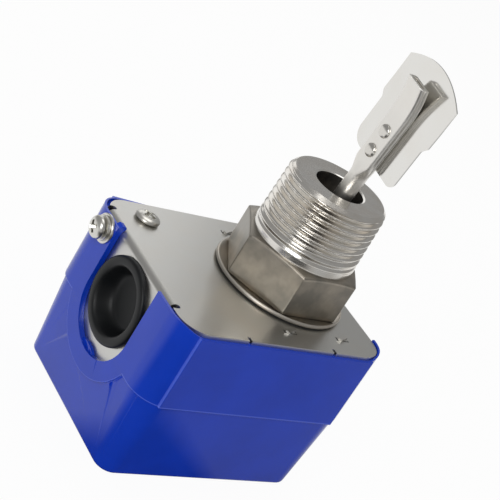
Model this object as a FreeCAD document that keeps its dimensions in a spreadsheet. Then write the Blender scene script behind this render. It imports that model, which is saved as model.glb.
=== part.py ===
import FreeCAD, Part
import Sketcher
import math
import os

# Flow switch. Millimetres. Origin: on the fitting's axis, in the closed flat face of the cover.
# +Z runs up the fitting to the paddle, -X points to the cable entry, flow pushes the leaf to -X.

VALUES = {
    "cover_length": 78.7,
    "cover_width": 64.3,
    "plug_end": 52.84,
    "corner": 9.4,
    "belt": 28.0,
    "belt_step": 0.85,
    "draft": 4.8,
    "wall": 1.9,
    "floor": 2.0,
    "lip_rise": 0.4,
    "lip_thick": 0.9,
    "lip_gap": 0.25,
    "lip_slope": 6.0,
    "rim_round": 0.9,
    "base_round": 1.2,
    "notch_half": 14.3,
    "notch_drop": 18.8,
    "collar": 18.9,
    "plate_top": 54.4,
    "sheet": 1.2,
    "plate_back": 2.14,
    "plate_corner": 8.2,
    "screw_side": 13.15,
    "screw_drop": 3.4,
    "ground_in": 12.34,
    "ground_side": 8.55,
    "end_back": 2.04,
    "end_bend": 2.2,
    "end_near": -18.7,
    "end_far": 24.9,
    "end_bottom": 16.8,
    "slit": 1.8,
    "slit_reach": 2.9,
    "tick": 1.2,
    "tick_left": -28.6,
    "tick_right": 3.8,
    "plug_drop": 15.0,
    "plug_hole": 11.0,
    "plug_flange": 13.4,
    "plug_recess": 10.5,
    "spigot": 11.0,
    "spigot_hole": 6.0,
    "spigot_long": 2.8,
    "bore": 7.8,
    "hex_flats": 36.0,
    "hex_tall": 14.4,
    "nipple_tall": 21.5,
    "nipple": 16.3,
    "flange": 21.6,
    "flange_thick": 0.9,
    "gasket": 0.4,
    "shelf": 1.3,
    "pivot_drop": 6.4,
    "arm_drop": 6.1,
    "lean": 6.0,
    "arm": 2.9,
    "arm_bore": 2.05,
    "arm_round_end": 34.5,
    "strap_start": 40.0,
    "strap_bend": 56.0,
    "strap_tip": 68.5,
    "strap_sweep": 2.5,
    "strap_width": 7.9,
    "strap_front": -2.5,
    "strap_back": 0.9,
    "leaf_sheet": 0.5,
    "leaf_bottom": 39.6,
    "leaf_step": 56.1,
    "leaf_side": 70.1,
    "leaf_top": 74.8,
    "leaf_half": 13.75,
    "leaf_half_low": 12.25,
    "rivet_low": 43.8,
    "rivet_high": 50.9,
    "rivet": 1.4,
    "rivet_head": 2.1,
    "bracket_side": 23.4,
    "bracket_web": 14.0,
    "tab": 4.0,
    "tab_twist": 27.0,
    "tab_left": -9.8,
    "tab_right": 11.1,
    "tab_far": -6.4,
    "pin": 1.5,
    "running": 0.05,
    "hub": 3.1,
    "switch_long": 27.8,
    "switch_thick": 10.3,
    "switch_high": 15.9,
    "plunger": 1.5,
    "plunger_drop": 2.8,
    "plunger_rise": 1.5,
    "plunger_dome": 3.0,
    "reach": 14.0,
    "spring_side": 14.0,
    "screw_m4": 2.0,
    "screw_m3": 1.5,
    "spring_mid": 3.6,
    "spring_wire": 0.45,
    "seat_rise": 12.0,
    "seat_thick": 2.6,
}

doc = FreeCAD.newDocument("flow_switch")
sheet = doc.addObject("Spreadsheet::Sheet", "sizes")
sheet.Label = "sizes"
for row, (alias, number) in enumerate(VALUES.items(), 1):
    sheet.set(f"A{row}", alias)
    sheet.set(f"B{row}", str(number))
    sheet.setAlias(f"B{row}", alias)
doc.recompute()


class Size:
    """A number that keeps the sheet formula it comes from."""

    def __init__(self, value, text):
        self.value = float(value)
        self.text = text

    def __add__(self, other):
        other = sized(other)
        return Size(self.value + other.value, f"({self.text} + {other.text})")

    def __sub__(self, other):
        other = sized(other)
        return Size(self.value - other.value, f"({self.text} - {other.text})")

    def __mul__(self, other):
        other = sized(other)
        return Size(self.value * other.value, f"({self.text} * {other.text})")

    def __truediv__(self, other):
        other = sized(other)
        return Size(self.value / other.value, f"({self.text} / {other.text})")

    def __radd__(self, other):
        return sized(other) + self

    def __rsub__(self, other):
        return sized(other) - self

    def __rmul__(self, other):
        return sized(other) * self

    def __neg__(self):
        return 0.0 - self


def sized(number):
    return number if isinstance(number, Size) else Size(number, f"({float(number)!r})")


def sine(angle):
    return Size(math.sin(math.radians(angle.value)), f"sin({angle.text} * 1deg)")


def cosine(angle):
    return Size(math.cos(math.radians(angle.value)), f"cos({angle.text} * 1deg)")


def of(alias):
    return Size(VALUES[alias], "sizes." + alias)


def bind(thing, name, number):
    number = sized(number)
    if "." not in name and "[" not in name:
        setattr(thing, name, number.value)
    if "sizes." in number.text:
        thing.setExpression(name, number.text)


AXES = {
    "x": FreeCAD.Rotation(FreeCAD.Vector(0, 1, 0), 90),
    "-x": FreeCAD.Rotation(FreeCAD.Vector(0, 1, 0), -90),
    "y": FreeCAD.Rotation(FreeCAD.Vector(1, 0, 0), -90),
    "-y": FreeCAD.Rotation(FreeCAD.Vector(1, 0, 0), 90),
    "z": FreeCAD.Rotation(),
    "-z": FreeCAD.Rotation(FreeCAD.Vector(1, 0, 0), 180),
}


def place(thing, at, turn=None):
    at = [sized(value) for value in at]
    thing.Placement = FreeCAD.Placement(FreeCAD.Vector(*[value.value for value in at]), turn or FreeCAD.Rotation())
    for letter, value in zip("xyz", at):
        bind(thing, "Placement.Base." + letter, value)
    return thing


def box(name, low, high):
    """A box from its low corner to its high corner."""
    thing = doc.addObject("Part::Box", name)
    for side, start, stop in zip(("Length", "Width", "Height"), low, high):
        bind(thing, side, sized(stop) - start)
    return place(thing, low)


def rod(name, radius, length, at, axis="z", turn=None):
    thing = doc.addObject("Part::Cylinder", name)
    bind(thing, "Radius", radius)
    bind(thing, "Height", length)
    return place(thing, at, turn or AXES[axis])


def hexagon(name, flats, length, at, axis="z"):
    thing = doc.addObject("Part::Prism", name)
    thing.Polygon = 6
    bind(thing, "Circumradius", sized(flats) / math.sqrt(3))
    bind(thing, "Height", length)
    return place(thing, at, AXES[axis])


def joined(name, *things):
    whole = doc.addObject("Part::MultiFuse", name)
    whole.Shapes = list(things)
    whole.Refine = True
    return whole


def shared(name, *things):
    whole = doc.addObject("Part::MultiCommon", name)
    whole.Shapes = list(things)
    return whole


def without(name, base, *tools):
    whole = doc.addObject("Part::Cut", name)
    whole.Base = base
    whole.Tool = tools[0] if len(tools) == 1 else joined(name + "_tools", *tools)
    return whole


def group(name, *things):
    whole = doc.addObject("Part::Compound", name)
    whole.Links = list(things)
    return whole


def rounded(name, base, radius, chosen):
    """Fillet the edges that a test on their middle point and bounds chooses."""
    doc.recompute()
    thing = doc.addObject("Part::Fillet", name)
    thing.Base = base
    picks = [number for number, edge in enumerate(base.Shape.Edges, 1) if chosen(edge)]
    thing.Edges = [(number, radius, radius) for number in picks]
    return thing


class Solid:
    """A PartDesign body whose sketches are drawn with sizes of the sheet."""

    def __init__(self, name):
        self.body = doc.addObject("PartDesign::Body", name)
        self.count = 0

    def plane(self, role):
        return next(item for item in self.body.Origin.OriginFeatures if item.Role == role)

    def sketch(self, role, offset=0.0):
        self.count += 1
        drawing = self.body.newObject("Sketcher::SketchObject", f"{self.body.Name}_sketch_{self.count}")
        drawing.AttachmentSupport = [(self.plane(role), "")]
        drawing.MapMode = "FlatFace"
        offset = sized(offset)
        drawing.AttachmentOffset = FreeCAD.Placement(FreeCAD.Vector(0, 0, offset.value), FreeCAD.Rotation())
        bind(drawing, "AttachmentOffset.Base.z", offset)
        return drawing

    def feature(self, kind, profile, **values):
        thing = self.body.newObject("PartDesign::" + kind, f"{self.body.Name}_{kind}_{self.count}")
        thing.Profile = profile
        profile.Visibility = False
        for name, value in values.items():
            if isinstance(value, (Size, int, float)) and not isinstance(value, bool):
                bind(thing, name, value)
            else:
                setattr(thing, name, value)
        return thing

    def pad(self, profile, length, **values):
        return self.feature("Pad", profile, Length=length, **values)

    def pocket(self, profile, length, **values):
        return self.feature("Pocket", profile, Length=length, **values)

    def through(self, profile):
        return self.feature("Pocket", profile, Type="ThroughAll", SideType="Symmetric")

    def spun(self, profile, kind="Revolution"):
        return self.feature(kind, profile, ReferenceAxis=(profile, ["V_Axis"]), Angle=360.0)


def fix(drawing, kind, geometry, point, number):
    number = sized(number)
    index = drawing.addConstraint(Sketcher.Constraint(kind, -1, 1, geometry, point, number.value))
    if "sizes." in number.text:
        drawing.setExpression(f"Constraints[{index}]", number.text)


def polygon(drawing, corners):
    """A closed outline of straight lines, every corner held by the sheet."""
    spots = [FreeCAD.Vector(sized(across).value, sized(up).value, 0) for across, up in corners]
    lines = []
    for start, stop in zip(spots, spots[1:] + spots[:1]):
        lines.append(drawing.addGeometry(Part.LineSegment(start, stop), False))
    for line, (across, up) in zip(lines, corners):
        drawing.addConstraint(Sketcher.Constraint("Coincident", lines[line - lines[0] - 1], 2, line, 1))
        fix(drawing, "DistanceX", line, 1, across)
        fix(drawing, "DistanceY", line, 1, up)
    return drawing


def circle(drawing, across, up, radius):
    radius = sized(radius)
    centre = FreeCAD.Vector(sized(across).value, sized(up).value, 0)
    ring = drawing.addGeometry(Part.Circle(centre, FreeCAD.Vector(0, 0, 1), radius.value), False)
    index = drawing.addConstraint(Sketcher.Constraint("Radius", ring, radius.value))
    if "sizes." in radius.text:
        drawing.setExpression(f"Constraints[{index}]", radius.text)
    fix(drawing, "DistanceX", ring, 3, across)
    fix(drawing, "DistanceY", ring, 3, up)
    return drawing


def round_box(drawing, left, right, low, high, radius):
    """A rectangle with four equal round corners."""
    left, right, low, high, radius = [sized(value) for value in (left, right, low, high, radius)]
    centres = (
        (right - radius, low + radius, 270),
        (right - radius, high - radius, 0),
        (left + radius, high - radius, 90),
        (left + radius, low + radius, 180),
    )
    arcs = []
    for across, up, start in centres:
        ring = Part.Circle(FreeCAD.Vector(across.value, up.value, 0), FreeCAD.Vector(0, 0, 1), radius.value)
        bend = Part.ArcOfCircle(ring, math.radians(start), math.radians(start + 90))
        arcs.append(drawing.addGeometry(bend, False))
    for arc, (across, up, start) in zip(arcs, centres):
        index = drawing.addConstraint(Sketcher.Constraint("Radius", arc, radius.value))
        if "sizes." in radius.text:
            drawing.setExpression(f"Constraints[{index}]", radius.text)
        fix(drawing, "DistanceX", arc, 3, across)
        fix(drawing, "DistanceY", arc, 3, up)
    for arc, following in zip(arcs, arcs[1:] + arcs[:1]):
        start = drawing.getPoint(arc, 2)
        stop = drawing.getPoint(following, 1)
        line = drawing.addGeometry(Part.LineSegment(start, stop), False)
        drawing.addConstraint(Sketcher.Constraint("Tangent", arc, 2, line, 1))
        drawing.addConstraint(Sketcher.Constraint("Tangent", line, 2, following, 1))
    return drawing


NODES = {}


def node(name, thing):
    """Register a finished sub-part under its plain name."""
    thing.Label = name
    NODES[name] = thing
    return thing


left = -of("plug_end")
right = of("cover_length") - of("plug_end")
half = of("cover_width") / 2
rim = of("plate_top") - of("sheet")
slope = sine(of("draft")) / cosine(of("draft"))
step = of("belt_step")
inset = step + of("belt") * slope
wall = of("wall")
middle = of("plate_top") - of("notch_drop")
lip_top = of("plate_top") + of("lip_rise")
plate_half = half - of("lip_thick") - of("lip_gap")
plate_start = left + of("plate_back")
plate_end = right - of("lip_thick") - of("lip_gap")
end_face = left + of("end_back")
plug_height = of("plate_top") - of("plug_drop")
screw_spot = (half - of("screw_side"), of("plate_top") - of("screw_drop"))
ground_spot = (plate_start + of("ground_in"), plate_half - of("ground_side"))
hex_bottom = of("plate_top") + of("gasket") + of("flange_thick")
hex_top = hex_bottom + of("hex_tall")
nipple_top = hex_top + of("nipple_tall")
spigot_end = rim - of("spigot_long")
shelf_top = hex_bottom + of("shelf")
arm_cross = hex_top - of("arm_drop")
pivot = rim - of("pivot_drop")
plunger_top = pivot - of("plunger_drop")
switch_top = plunger_top - of("plunger_rise")
seat_top = of("bracket_web") + of("seat_rise")
range_spot = (-of("reach"), of("spring_side"))


def footprint(solid, height, shrink, corner):
    """The case outline at one height, moved in by a distance."""
    drawing = solid.sketch("XY_Plane", height)
    return round_box(drawing, left + shrink, right - shrink, shrink - half, half - shrink, corner)


def build_cover():
    shell = Solid("cover_shell")
    low = footprint(shell, 0, inset, of("corner") - 1.0)
    belt = footprint(shell, of("belt"), step, of("corner") - step)
    shell.feature("AdditiveLoft", low, Sections=[belt], Ruled=True)
    shell.pad(footprint(shell, of("belt"), 0, of("corner")), rim - of("belt"))
    shell.pad(footprint(shell, rim, 0, of("corner")), lip_top - rim)
    drop = lip_top - rim
    trim = shell.sketch("XZ_Plane")
    polygon(trim, [
        (left + 1.4 + of("lip_slope"), rim),
        (left + 1.4, lip_top + 0.01),
        (left + 1.4, lip_top + 1),
        (right - 1.4, lip_top + 1),
        (right - 1.4, lip_top + 0.01),
        (right - 1.4 - of("lip_slope"), rim),
    ])
    shell.through(trim)
    inner = of("corner") - of("lip_thick")
    shell.pocket(footprint(shell, lip_top, of("lip_thick"), inner), drop)
    gap = shell.sketch("XY_Plane", lip_top)
    reach = of("corner") + 0.6 - half
    polygon(gap, [(right - 8, reach), (right + 2, reach), (right + 2, -reach), (right - 8, -reach)])
    shell.pocket(gap, drop)
    doc.recompute()
    base = rounded("cover_base_rounded", shell.body, VALUES["base_round"],
                   lambda edge: edge.BoundBox.ZMax < 0.01)
    ring = rod("cover_collar", of("collar"), 3.2, (left, 0, middle), "x")
    solid = joined("cover_outside", base, ring)
    edges = []
    start = left + 1.4 + of("lip_slope")
    stop = right - 1.4 - of("lip_slope")
    for side in (-1, 1):
        strip = Solid("rim_strip_near" if side < 0 else "rim_strip_far")
        shape = strip.sketch("YZ_Plane", start)
        turn = of("rim_round")
        bend = [(1 - math.sin(angle), 1 - math.cos(angle)) for angle in (0.0, 0.39, 0.79, 1.18, 1.5708)]
        arc = [(side * (half - turn * across), rim - turn * down) for across, down in bend]
        polygon(shape, [*arc, (side * (half + 1), rim - turn), (side * (half + 1), rim + 1),
                        (side * (half - turn), rim + 1)])
        strip.pad(shape, stop - start)
        edges.append(strip.body)
    hollow = Solid("cover_hollow")
    low = footprint(hollow, of("floor"), inset + wall - of("floor") * slope, of("corner") - 2.6)
    belt = footprint(hollow, of("belt"), step + wall, of("corner") - step - wall)
    hollow.feature("AdditiveLoft", low, Sections=[belt], Ruled=True)
    high = footprint(hollow, of("belt"), wall, of("corner") - wall - 1.3)
    hollow.pad(high, lip_top + 2 - of("belt"))
    pocket = rod("cover_collar_hollow", of("collar") - wall, 6, (left + wall, 0, middle), "x")
    notch = Solid("cover_notch")
    slot = notch.sketch("YZ_Plane", left + 3)
    polygon(slot, [
        (-of("notch_half"), middle),
        (of("notch_half"), middle),
        (of("notch_half"), lip_top + 2),
        (-of("notch_half"), lip_top + 2),
    ])
    notch.pad(slot, 12, SideType="Symmetric")
    bowl = circle(notch.sketch("YZ_Plane", left + 3), 0, middle, of("notch_half"))
    notch.pad(bowl, 12, SideType="Symmetric")
    screw = rod("cover_screw_hole", of("screw_m4") + 0.25, 8, (left - 3, *screw_spot), "x")
    open_case = without("cover_open", solid, hollow.body, pocket, notch.body, *edges)
    hook = shared(
        "cover_hook",
        rod("cover_hook_round", 1.6, 2.4, (left + 1.75, of("notch_half"), of("plate_top") - 0.3), "y"),
        box("cover_hook_limit", (left, of("notch_half"), rim - 3), (left + 4, of("notch_half") + 6, rim + 3)),
    )
    bend = of("end_bend")
    seat = rod("cover_hook_seat", bend + 0.05, 8, (end_face + bend, of("notch_half") - 1, of("plate_top") - bend), "y")
    fitted = without("cover_hook_fitted", hook, seat)
    node("cover", without("cover_part", joined("cover_whole", open_case, fitted), screw))


def build_chassis():
    plate = Solid("plate")
    edge = plate_half
    flat = plate.sketch("XY_Plane", rim)
    round_box(flat, plate_start, plate_end, -edge, edge, of("plate_corner"))
    plate.pad(flat, of("sheet"))
    bite = plate.sketch("XY_Plane", of("plate_top"))
    near = of("end_near") - of("slit")
    far = of("end_far") + of("slit")
    root = plate_start + of("slit_reach") - of("slit") / 2
    polygon(bite, [(plate_start - 2, near), (root, near), (root, far), (plate_start - 2, far)])
    plate.pocket(bite, of("sheet"))
    for place_y in (near + of("slit") / 2, far - of("slit") / 2):
        relief = circle(plate.sketch("XY_Plane", of("plate_top")), root, place_y, of("slit") / 2)
        plate.pocket(relief, of("sheet"))
    ticks = []
    for along in (of("tick_left"), of("tick_right")):
        for side in (-1, 1):
            deep = 1.6
            centre = side * (edge - deep / 2)
            ticks.append(box(f"tick_{len(ticks)}", (along - 0.6, centre - deep / 2, rim - 1),
                             (along + of("tick") - 0.6, centre + deep / 2 + 1, of("plate_top") + 1)))
    slots = []
    for along, side in ((of("tab_left"), -1), (of("tab_right"), -1), (of("tab_far"), 1), (of("tab_right"), 1)):
        across = side * (of("bracket_side") + of("sheet") / 2)
        slots.append(box(f"tab_slot_{len(slots)}",
                         (along - of("tab") / 2 - 0.3, across - of("sheet") / 2 - 0.2, rim - 1),
                         (along + of("tab") / 2 + 0.3, across + of("sheet") / 2 + 0.2, of("plate_top") + 1)))
    centre_hole = rod("plate_centre_hole", of("spigot") + 0.3, 6, (0, 0, rim - 2))
    ground_hole = rod("plate_ground_hole", of("screw_m4") + 0.3, 6, (*ground_spot, rim - 2))
    face = end_face
    bend = of("end_bend")
    side = Solid("end_wall")
    profile = side.sketch("XZ_Plane")
    sheet_thick = of("sheet")
    top = of("plate_top")
    polygon(profile, [
        (face, middle - of("end_bottom")),
        (face, top - bend),
        (face + bend * 0.293, top - bend * 0.293),
        (face + bend, top),
        (root, top),
        (root, rim),
        (face + bend, rim),
        (face + sheet_thick + (bend - sheet_thick) * 0.293, top - sheet_thick - (bend - sheet_thick) * 0.293),
        (face + sheet_thick, top - bend),
        (face + sheet_thick, middle - of("end_bottom")),
    ])
    side.pad(profile, 80, SideType="Symmetric")
    mask = Solid("end_mask")
    outline = mask.sketch("YZ_Plane", face)
    polygon(outline, [
        (of("end_near"), middle),
        (of("end_far"), middle),
        (of("end_far"), top + 1),
        (of("end_near"), top + 1),
    ])
    mask.pad(outline, 12, SideType="Symmetric")
    bowl = circle(mask.sketch("YZ_Plane", face), 0, middle, of("end_bottom"))
    mask.pad(bowl, 12, SideType="Symmetric")
    tongue = shared("end_tongue", side.body, mask.body)
    entry = rod("entry_hole", of("plug_hole"), 6, (face - 2, 0, plug_height), "x")
    foot = middle - of("end_bottom")
    nick = box("end_nick", (face - 1, -4.6, foot - 1), (face + 3, -0.4, foot + 2.8))
    thread = rod("cover_screw_thread", of("screw_m4") + 0.3, 6, (face - 2, *screw_spot), "x")
    node("chassis", without("chassis_part", joined("chassis_blank", plate.body, tongue),
                            *ticks, *slots, centre_hole, ground_hole, entry, nick, thread))


def build_plug():
    face = end_face
    plug = Solid("plug")
    half_section = plug.sketch("XZ_Plane")
    body = of("plug_hole") - 0.1
    groove = of("sheet") + 0.1
    polygon(half_section, [
        (0, 4.5),
        (of("plug_recess") - 1.2, 4.5),
        (of("plug_recess"), -0.9),
        (of("plug_flange") - 0.5, -0.9),
        (of("plug_flange"), -0.4),
        (of("plug_flange"), 0),
        (body, 0),
        (body, groove),
        (body + 0.9, groove),
        (body, 6.5),
        (of("plug_recess") - 2.4, 6.5),
        (of("plug_recess") - 2.6, 5.7),
        (0, 5.7),
    ])
    plug.spun(half_section)
    node("cable_plug", place(plug.body, (face, 0, plug_height), AXES["x"]))


def screw_head(name, radius, height, at, axis):
    """A pan head with a crossed recess, its seat at the given point."""
    head = Solid(name)
    side = head.sketch("XZ_Plane")
    polygon(side, [
        (0, 0),
        (radius, 0),
        (radius, sized(height) * 0.45),
        (sized(radius) * 0.86, sized(height) * 0.82),
        (sized(radius) * 0.55, height),
        (0, height),
    ])
    head.spun(side)
    for wide, tall in ((0.52, 0.13), (0.13, 0.52)):
        cross = head.sketch("XY_Plane", height)
        across = sized(radius) * wide
        up = sized(radius) * tall
        polygon(cross, [(-across, -up), (across, -up), (across, up), (-across, up)])
        head.pocket(cross, sized(height) * 0.55)
    return place(head.body, at, AXES[axis])


def build_screws():
    washer = 0.9
    spring_washer = 1.1
    spot = screw_spot
    node("cover_flat_washer", without(
        "flat_washer",
        rod("flat_washer_disc", 4.5, washer, (left, *spot), "-x"),
        rod("flat_washer_hole", of("screw_m4") + 0.25, washer + 2, (left + 1, *spot), "-x"),
    ))
    start = left - washer
    ring = without(
        "lock_washer_ring",
        rod("lock_washer_disc", 3.8, spring_washer, (start, *spot), "-x"),
        rod("lock_washer_hole", of("screw_m4") + 0.15, spring_washer + 2, (start + 1, *spot), "-x"),
    )
    split = box("lock_washer_split", (start - 3, spot[0] - 5, spot[1] - 0.35), (start + 1, spot[0], spot[1] + 0.35))
    node("cover_lock_washer", without("lock_washer", ring, split))
    seat = start - spring_washer
    node("cover_screw", joined(
        "cover_screw_part",
        screw_head("cover_screw_head", of("screw_m4") * 2, 2.9, (seat, *spot), "-x"),
        rod("cover_screw_shank", of("screw_m4"), 9.5, (seat, *spot), "x"),
    ))
    spot = ground_spot
    node("ground_screw", joined(
        "ground_screw_part",
        screw_head("ground_screw_head", of("screw_m4") * 2, 2.2, (*spot, of("plate_top")), "z"),
        rod("ground_screw_shank", of("screw_m4"), 8, (*spot, of("plate_top")), "-z"),
    ))
    node("ground_nut", without(
        "ground_nut_part",
        hexagon("ground_nut_blank", 7.0, 3.2, (*spot, rim), "-z"),
        rod("ground_nut_hole", of("screw_m4") + 0.1, 6, (*spot, rim + 1), "-z"),
    ))


def build_fitting():
    seat = of("plate_top") + of("gasket")
    grown = of("nipple") + of("nipple_tall") / 32
    body = hexagon("hexagon_blank", of("hex_flats"), hex_top - hex_bottom, (0, 0, hex_bottom))
    limit = Solid("hexagon_limit")
    shape = limit.sketch("XZ_Plane")
    corner = of("hex_flats") / math.sqrt(3)
    polygon(shape, [
        (0, hex_bottom),
        (corner + 0.1, hex_bottom),
        (corner + 0.1, hex_top - 0.8),
        (of("hex_flats") / 2 - 0.4, hex_top),
        (0, hex_top),
    ])
    limit.spun(shape)
    core = Solid("fitting_core")
    section = core.sketch("XZ_Plane")
    polygon(section, [
        (of("spigot_hole"), spigot_end),
        (of("spigot") - 0.4, spigot_end),
        (of("spigot"), spigot_end + 0.4),
        (of("spigot"), hex_bottom),
        (of("hex_flats") / 2 - 0.6, hex_bottom),
        (of("hex_flats") / 2 - 0.6, hex_top),
        (grown - 1.3, hex_top),
        (grown - 1.3, hex_top + 1.2),
        (grown, hex_top + 2.4),
        (of("nipple"), nipple_top - 1.0),
        (of("nipple") - 1.4, nipple_top),
        (of("bore") + 0.5, nipple_top),
        (of("bore"), nipple_top - 0.5),
        (of("bore"), shelf_top),
        (of("spigot_hole"), shelf_top),
    ])
    core.spun(section)
    drill = rod("fitting_drill", of("bore"), of("hex_tall") + 10, (0, 0, shelf_top))
    drill_low = rod("fitting_drill_low", of("spigot_hole"), 20, (0, 0, spigot_end - 5))
    node("hex_fitting", without(
        "hex_fitting_part",
        joined("fitting_blank", shared("hexagon", body, limit.body), core.body),
        drill, drill_low,
    ))
    disc = Solid("flange_disc")
    section = disc.sketch("XZ_Plane")
    inner = of("spigot") + 0.3
    top = hex_bottom
    polygon(section, [
        (inner, seat),
        (of("flange") - 0.25, seat),
        (of("flange"), seat + 0.25),
        (of("flange"), top - 0.35),
        (of("flange") - 0.3, top - 0.1),
        (of("flange") - 0.8, top),
        (inner, top),
    ])
    disc.spun(section)
    node("flange_washer", disc.body)
    node("flange_gasket", without(
        "gasket",
        rod("gasket_disc", of("flange") - 0.5, of("gasket"), (0, 0, of("plate_top"))),
        rod("gasket_hole", inner, 3, (0, 0, of("plate_top") - 1)),
    ))
    node("fitting_lock_ring", without(
        "lock_ring",
        hexagon("lock_ring_blank", 30.0, 2.0, (0, 0, rim - 2.0)),
        rod("lock_ring_hole", inner, 5, (0, 0, rim - 3)),
    ))


lean = of("lean")
tilt = FreeCAD.Rotation(FreeCAD.Vector(1, 0, 0), VALUES["lean"])


def along_arm(distance, across=0.0, forward=0.0):
    """A point given along the leaning arm, across it and along X."""
    distance = sized(distance)
    across = sized(across)
    return (
        sized(forward),
        across * cosine(lean) - distance * sine(lean),
        arm_cross + distance * cosine(lean) + across * sine(lean),
    )


pivot_y = (arm_cross - pivot) * sine(lean) / cosine(lean)
pivot_down = (arm_cross - pivot) / cosine(lean)
seat_down = pivot_down - 3.6


def build_paddle():
    arm = Solid("arm")
    low = arm.sketch("XY_Plane", -seat_down)
    circle(low, 0, 0, of("arm"))
    arm.pad(low, seat_down + of("arm_round_end"))
    foot = circle(arm.sketch("XY_Plane", of("arm_round_end")), 0, 0, of("arm"))
    front = of("strap_front")
    back = of("strap_back")
    wide = of("strap_width") / 2
    head = arm.sketch("XY_Plane", of("strap_start"))
    round_box(head, front, back, -wide, wide, 0.7)
    arm.feature("AdditiveLoft", foot, Sections=[head], Ruled=True)
    strap = arm.sketch("XY_Plane", of("strap_start"))
    round_box(strap, front, back, -wide, wide, 0.7)
    arm.pad(strap, of("strap_bend") - of("strap_start"))
    hooked = arm.sketch("XZ_Plane")
    long = of("strap_tip") - of("strap_bend")
    steps = [index / 6 for index in range(7)]
    sweep = of("strap_sweep")
    ahead = [(front - sweep * (ratio * ratio), of("strap_bend") + long * ratio) for ratio in steps]
    behind = [(back - sweep * (ratio * ratio), of("strap_bend") + long * ratio) for ratio in reversed(steps)]
    polygon(hooked, ahead + behind)
    arm.pad(hooked, of("strap_width"), SideType="Symmetric")
    drill = circle(arm.sketch("XY_Plane", -seat_down), 0, 0, of("arm_bore"))
    arm.pocket(drill, seat_down + of("arm_round_end") - 2, Reversed=True)
    slit = arm.sketch("XZ_Plane")
    middle_x = (front + back) / 2
    polygon(slit, [
        (middle_x - 0.45, of("strap_bend") - 4),
        (middle_x + 0.45, of("strap_bend") - 4),
        (middle_x + 0.45 - sweep * 0.36, of("strap_bend") + long * 0.6),
        (middle_x + 0.45 - sweep, of("strap_tip") + 0.1),
        (middle_x - 0.45 - sweep, of("strap_tip") + 0.1),
        (middle_x - 0.45 - sweep * 0.36, of("strap_bend") + long * 0.6),
    ])
    arm.pocket(slit, of("strap_width") - 2.6, SideType="Symmetric")
    for height in (of("rivet_low"), of("rivet_high")):
        hole = circle(arm.sketch("YZ_Plane"), 0, height, of("rivet") + 0.1)
        arm.through(hole)
    node("paddle_arm", place(arm.body, (0, 0, arm_cross), tilt))

    leaf = Solid("leaf")
    face = leaf.sketch("YZ_Plane", back)
    upper = of("leaf_half")
    lower = of("leaf_half_low")
    rise = of("leaf_top") - of("leaf_side")
    crown = [(-1 + index / 8) for index in range(17)]
    top = [(upper * -across, of("leaf_side") + rise * (1 - across * across)) for across in crown]
    polygon(face, [
        (-lower, of("leaf_bottom") + 2.6),
        (-lower + 0.8, of("leaf_bottom") + 0.8),
        (-lower + 2.6, of("leaf_bottom")),
        (lower - 4.6, of("leaf_bottom")),
        (lower - 1.35, of("leaf_bottom") + 1.35),
        (lower, of("leaf_bottom") + 4.6),
        (lower, of("leaf_step") - 2),
        (upper, of("leaf_step") + 1),
        *top,
        (-upper, of("leaf_step") + 1),
        (-lower, of("leaf_step") - 2),
    ])
    leaf.pad(face, of("leaf_sheet"))
    for height in (of("rivet_low"), of("rivet_high")):
        hole = circle(leaf.sketch("YZ_Plane"), 0, height, of("rivet") + 0.1)
        leaf.through(hole)
    node("paddle_leaf", place(leaf.body, (0, 0, arm_cross), tilt))

    pins = []
    for name, height in (("low", of("rivet_low")), ("high", of("rivet_high"))):
        rivet = Solid("rivet_" + name)
        section = rivet.sketch("XY_Plane")
        far = back + of("leaf_sheet")
        dome = of("rivet_head")
        polygon(section, [
            (front - 0.9, 0),
            (front - 0.75, dome * 0.5),
            (front - 0.35, dome * 0.9),
            (front, dome),
            (front, of("rivet")),
            (far, of("rivet")),
            (far, dome * 0.85),
            (far + 0.5, dome * 0.6),
            (far + 0.6, 0),
        ])
        rivet.feature("Revolution", section, ReferenceAxis=(section, ["H_Axis"]), Angle=360.0)
        pins.append(place(rivet.body, along_arm(height), tilt))
    node("paddle_rivets", group("rivets", *pins))


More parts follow.
